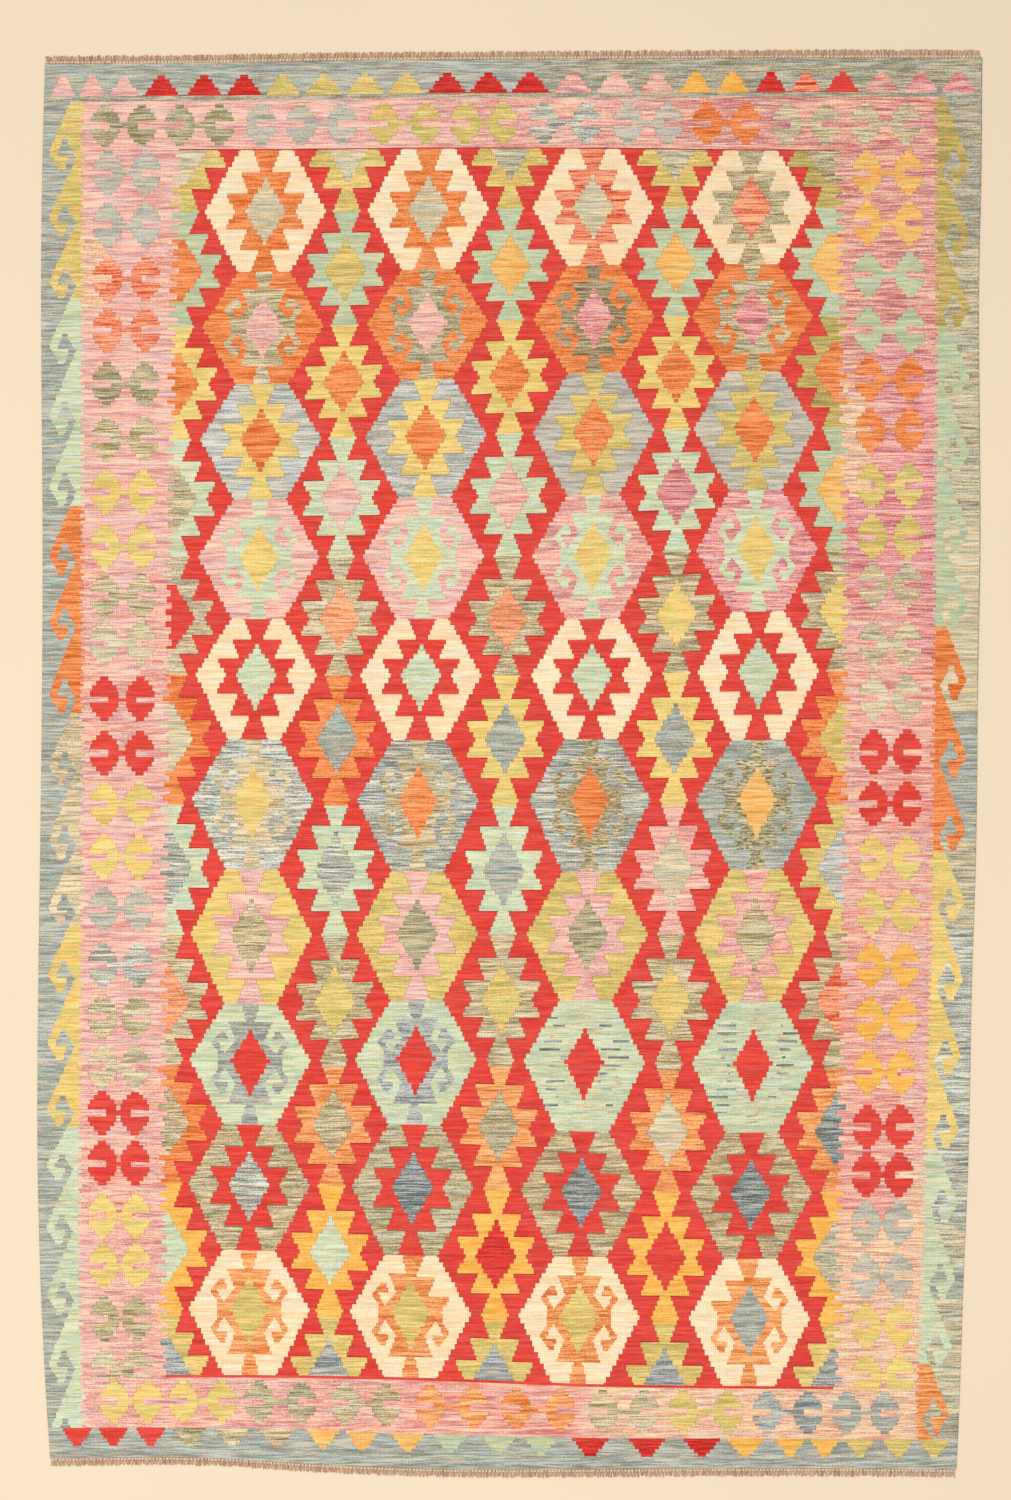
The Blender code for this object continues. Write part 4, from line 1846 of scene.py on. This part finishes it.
@dataclass(frozen=True)
class FringeFinish:
    """Undyed warp ends: beige cotton with darker and lighter strands and a ply that runs round them, whose
    furrows are painted darker as shade.
    """

    usual: tuple[int, int, int] = (222, 184, 152)
    dark: tuple[int, int, int] = (186, 144, 114)
    knot: tuple[int, int, int] = (253, 236, 208)
    fuzz: Mottle = Mottle(1.2, 2.0)
    # Level of the painted shade in the furrows of the ply, and how much lighter the ply's crowns are painted.
    furrow_level: float = 0.86
    twist_shade: float = 0.2
    fuzz_shade: float = 0.24
    fuzz_relief: float = 0.5
    relief: float = 0.0003
    relief_strength: float = 0.5
    roughness: float = 0.95
    shine: float = 0.2

    def build(self) -> bpy.types.Material:
        """Makes the material: the mesh carries how dark a strand is, whether it is a knot, and its ply.

        Returns:
            The material.
        """
        graph = Graph("warp_ends")
        dark, knotted, ply = graph.carried("strand")
        fuzz = self.fuzz.over(*graph.place())
        colour = graph.mix(dark, dye(self.usual), dye(self.dark))
        colour = graph.mix(knotted, colour, dye(self.knot))
        # Painted shade: the colour follows the twist of the ply, darker in its furrows and lighter on its
        # crowns.
        twist = (ply.part() - 0.5).size() * 2.0
        level = (twist * self.twist_shade + self.furrow_level) * ((fuzz - 0.5) * self.fuzz_shade + 1.0)
        return graph.finished(
            graph.tone(colour, level),
            (self.relief_strength, self.relief, twist + fuzz * self.fuzz_relief),
            {"Roughness": self.roughness, "Specular IOR Level": self.shine},
        )


@dataclass
class Tubes:
    """Closed tubes in one mesh, each on its own patch of the flat map."""

    patches: int
    margin: float = 0.05
    plies: float = 2.0
    ply_rise: float = 0.5
    corners: list = field(default_factory=list)
    faces: list = field(default_factory=list)
    strand: list = field(default_factory=list)
    flat: list = field(default_factory=list)

    def add(self, rings: list[list[tuple]], number: int, dark: float, knotted: float) -> None:
        """Adds a tube.

        Args:
            rings: Its rings of corners, from one end to the other.
            number: Its number, which gives its patch.
            dark: How dark it is.
            knotted: How much it has the colour of a knot.
        """
        first, around, length = len(self.corners), len(rings[0]), len(rings) - 1
        row, column = divmod(number, self.patches)
        inner = 1.0 - 2 * self.margin

        def mark(across: float, along: float, ply: float) -> None:
            """Notes what a corner of a face carries, and its place on the patch.

            Args:
                across: Share of the way round the tube.
                along: Share of the way along it.
                ply: Its place on the twist of the ply.
            """
            place = (column + self.margin + inner * across, row + self.margin + inner * along)
            self.flat.append((place[0] / self.patches, place[1] / self.patches))
            self.strand.append((dark, knotted, ply))

        for ring in rings:
            self.corners.extend(ring)
        for j in range(length):
            low, high = first + j * around, first + (j + 1) * around
            for i in range(around):
                after = (i + 1) % around
                self.faces.append((low + i, low + after, high + after, high + i))
                for a, b in ((i, j), (i + 1, j), (i + 1, j + 1), (i, j + 1)):
                    mark(a / around, b / length, a / around * self.plies + b * self.ply_rise)
        last = first + length * around
        for cap, end in ((range(first + around - 1, first - 1, -1), 0), (range(last, last + around), 1)):
            self.faces.append(tuple(cap))
            for _ in cap:
                mark(0.5, end, 0.5)


@dataclass
class Fringe:
    """The cut warp ends of one end of the rug, with the knots that hold the last picks. In millimetres."""

    node: str
    end: int
    chart: Chart
    shift: tuple[float, float]
    margin: float = 2.0
    pitch: float = 2.9
    reach: float = 15.5
    reach_spread: float = 2.2
    jitter: float = 0.5
    lean: float = 1.6
    lean_shares: tuple[float, float] = (0.3, 1.2)
    wave: float = 0.8
    wave_turn: float = 3.0
    root_radius: float = 1.8
    root_lift: float = 1.6
    root_start: float = -0.6
    tip_radius: float = 1.6
    arch: float = 0.9
    flatness: float = 0.8
    darkening: float = 1.6
    sides: int = 6
    stations: int = 6
    knot_pitch: float = 7.4
    knot_radius: float = 2.2
    knot_place: float = 2.0
    knot_half: float = 2.5
    knot_flatness: float = 0.85
    knot_rings: int = 5
    knot_jitter: float = 0.6
    knot_sizes: tuple[float, float] = (0.8, 1.15)
    knot_paleness: tuple[float, float] = (0.7, 1.0)
    seed: int = 11

    def ring(self, x: float, out: float, z: float, radius: float, flatness: float, at: float) -> list[tuple]:
        """A ring of corners round a strand that runs out from the edge.

        Args:
            x: Place across of its middle.
            out: Distance outside the edge.
            z: Height of its middle.
            radius: Its radius across.
            flatness: Its radius upwards, as a share of that.
            at: Place across where the edge is read.

        Returns:
            The corners, in metres.
        """
        y = self.chart.row("top" if self.end == TOP else "bottom", at) + self.end * out
        turns = [math.tau * k / self.sides for k in range(self.sides)]
        return [
            (
                (x + radius * math.cos(turn) * self.end) * MM + self.shift[0],
                y * MM + self.shift[1],
                (z + radius * flatness * math.sin(turn)) * MM,
            )
            for turn in turns
        ]

    def build(self) -> bpy.types.Object:
        """Makes all strands and knots of this end as one mesh.

        Returns:
            The piece.
        """
        chance = random.Random(self.seed + self.end)
        height = self.chart.row("top" if self.end == TOP else "bottom", CORNER_ACROSS * self.end)
        left = self.chart.column("left", height) + self.margin
        right = self.chart.column("right", height) - self.margin
        count = int((right - left) / self.pitch)
        knots = int((right - left) / self.knot_pitch)
        tubes = Tubes(math.ceil(math.sqrt(count + knots)))
        for number in range(count):
            x = left + (number + 0.5) * self.pitch + chance.uniform(-self.jitter, self.jitter)
            lean = (1 if number % 2 else -1) * self.lean * chance.uniform(*self.lean_shares)
            reach = self.reach + chance.uniform(-1, 1) * self.reach_spread
            dark = chance.random() ** self.darkening
            arch = self.arch if number % 2 else 0.0
            rings = []
            for j in range(self.stations):
                share = j / (self.stations - 1)
                radius = self.root_radius + (self.tip_radius - self.root_radius) * share
                here = x + lean * share + self.wave * math.sin(self.wave_turn * share + number)
                lying = radius * self.flatness
                lift = lying + arch * math.sin(math.pi * share) + (self.root_lift - lying) * (1 - share)
                out = self.root_start + reach * share
                rings.append(self.ring(here, out, lift, radius, self.flatness, x))
            tubes.add(rings, number, dark, 0.0)
        for number in range(knots):
            x = left + (number + 0.5) * self.knot_pitch + chance.uniform(-self.knot_jitter, self.knot_jitter)
            size = self.knot_radius * chance.uniform(*self.knot_sizes)
            rings = []
            for j in range(self.knot_rings):
                turn = math.pi * (j + 0.5) / self.knot_rings
                out = self.knot_place - self.knot_half * math.cos(turn)
                rings.append(self.ring(x, out, self.knot_place, size * math.sin(turn), self.knot_flatness, x))
            tubes.add(rings, count + number, 0.0, chance.uniform(*self.knot_paleness))
        name = f"{self.node}_strands"
        piece = closed_piece(name, tubes.corners, tubes.faces, {"strand": tubes.strand}, tubes.flat)
        LOG.info("%s: %d strands, %d knots, %d faces", name, count, knots, len(tubes.faces))
        return piece


# ---------------------------------------------------------------------------------------------- the studio


@dataclass
class Studio:
    """A plain pale floor, soft light from above, and the camera straight over the rug. In metres."""

    shift: tuple[float, float]
    aim: tuple[float, float] = (-0.0107, 0.0298)
    distance: float = 6.0
    focal: float = 67.5
    sensor: float = 36.0
    floor_size: float = 30.0
    floor_colour: tuple[int, int, int] = (245, 224, 195)
    floor_clouds: Mottle = Mottle(900.0, 900.0, detail=2.0)
    cloud_shade: float = 0.06
    floor_roughness: float = 0.85
    floor_shine: float = 0.2
    dome: float = 0.6
    lamp_size: float = 5.0
    lamp_power: float = 386.0
    lamp_place: tuple[float, float, float] = (-1.7, -1.15, 7.6)
    lamp_turn: float = 0.8

    def build(self) -> None:
        """Sets up the floor, the lights and the camera."""
        self.lay_floor()
        self.light()
        place = (self.aim[0] + self.shift[0], self.aim[1] + self.shift[1], self.distance)
        bpy.ops.object.camera_add(location=place, rotation=(0.0, 0.0, 0.0))
        camera = bpy.context.object
        camera.name = "overhead_camera"
        camera.data.lens = self.focal
        camera.data.sensor_width = self.sensor
        bpy.context.scene.camera = camera
        bpy.context.scene.view_settings.view_transform = "Standard"

    def lay_floor(self) -> None:
        """Adds the floor with its faintly clouded paint."""
        bpy.ops.object.select_all(action="DESELECT")
        bpy.ops.mesh.primitive_plane_add(size=self.floor_size, location=(0.0, 0.0, 0.0))
        floor = bpy.context.object
        floor.name = "floor"
        graph = Graph("floor_paint")
        level = (self.floor_clouds.over(*graph.place()) - 0.5) * self.cloud_shade + 1.0
        colour = graph.tone(dye(self.floor_colour)[:3], level)
        constants = {"Roughness": self.floor_roughness, "Specular IOR Level": self.floor_shine}
        floor.data.materials.append(graph.finished(colour, (), constants))

    def light(self) -> None:
        """Adds the pale dome of light and the wide lamp above."""
        world = bpy.data.worlds.new("soft_room")
        world.use_nodes = True
        background = world.node_tree.nodes["Background"]
        background.inputs["Color"].default_value = (1.0, 1.0, 1.0, 1.0)
        background.inputs["Strength"].default_value = self.dome
        bpy.context.scene.world = world
        bpy.ops.object.light_add(type="AREA", location=self.lamp_place)
        lamp = bpy.context.object
        lamp.name = "soft_lamp"
        lamp.data.shape = "SQUARE"
        lamp.data.size = self.lamp_size
        lamp.data.energy = self.lamp_power
        lamp.data.color = (1.0, 1.0, 1.0)
        x, y, z = self.lamp_place
        lamp.rotation_euler = (math.atan2(-y, z) * self.lamp_turn, math.atan2(x, z) * self.lamp_turn, 0.0)


# ------------------------------------------------------------------------------------------------ the rug


def main() -> None:
    """Builds the rug piece by piece, dresses it and sets it in the studio."""
    logging.basicConfig(level=logging.INFO, format="%(name)s: %(message)s")
    cloth = Cloth()
    sheet = cloth.build()
    cloth.dress(sheet)
    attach(sheet, "root")
    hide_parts("cloth")

    finish = FringeFinish().build()
    for node, end in (("fringe_top", TOP), ("fringe_bottom", BOTTOM)):
        piece = Fringe(node, end, cloth.chart, cloth.shift).build()
        piece.data.materials.append(finish)
        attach(piece, "root")
        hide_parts(node)

    Studio(cloth.shift).build()


if __name__ == "__main__":
    main()
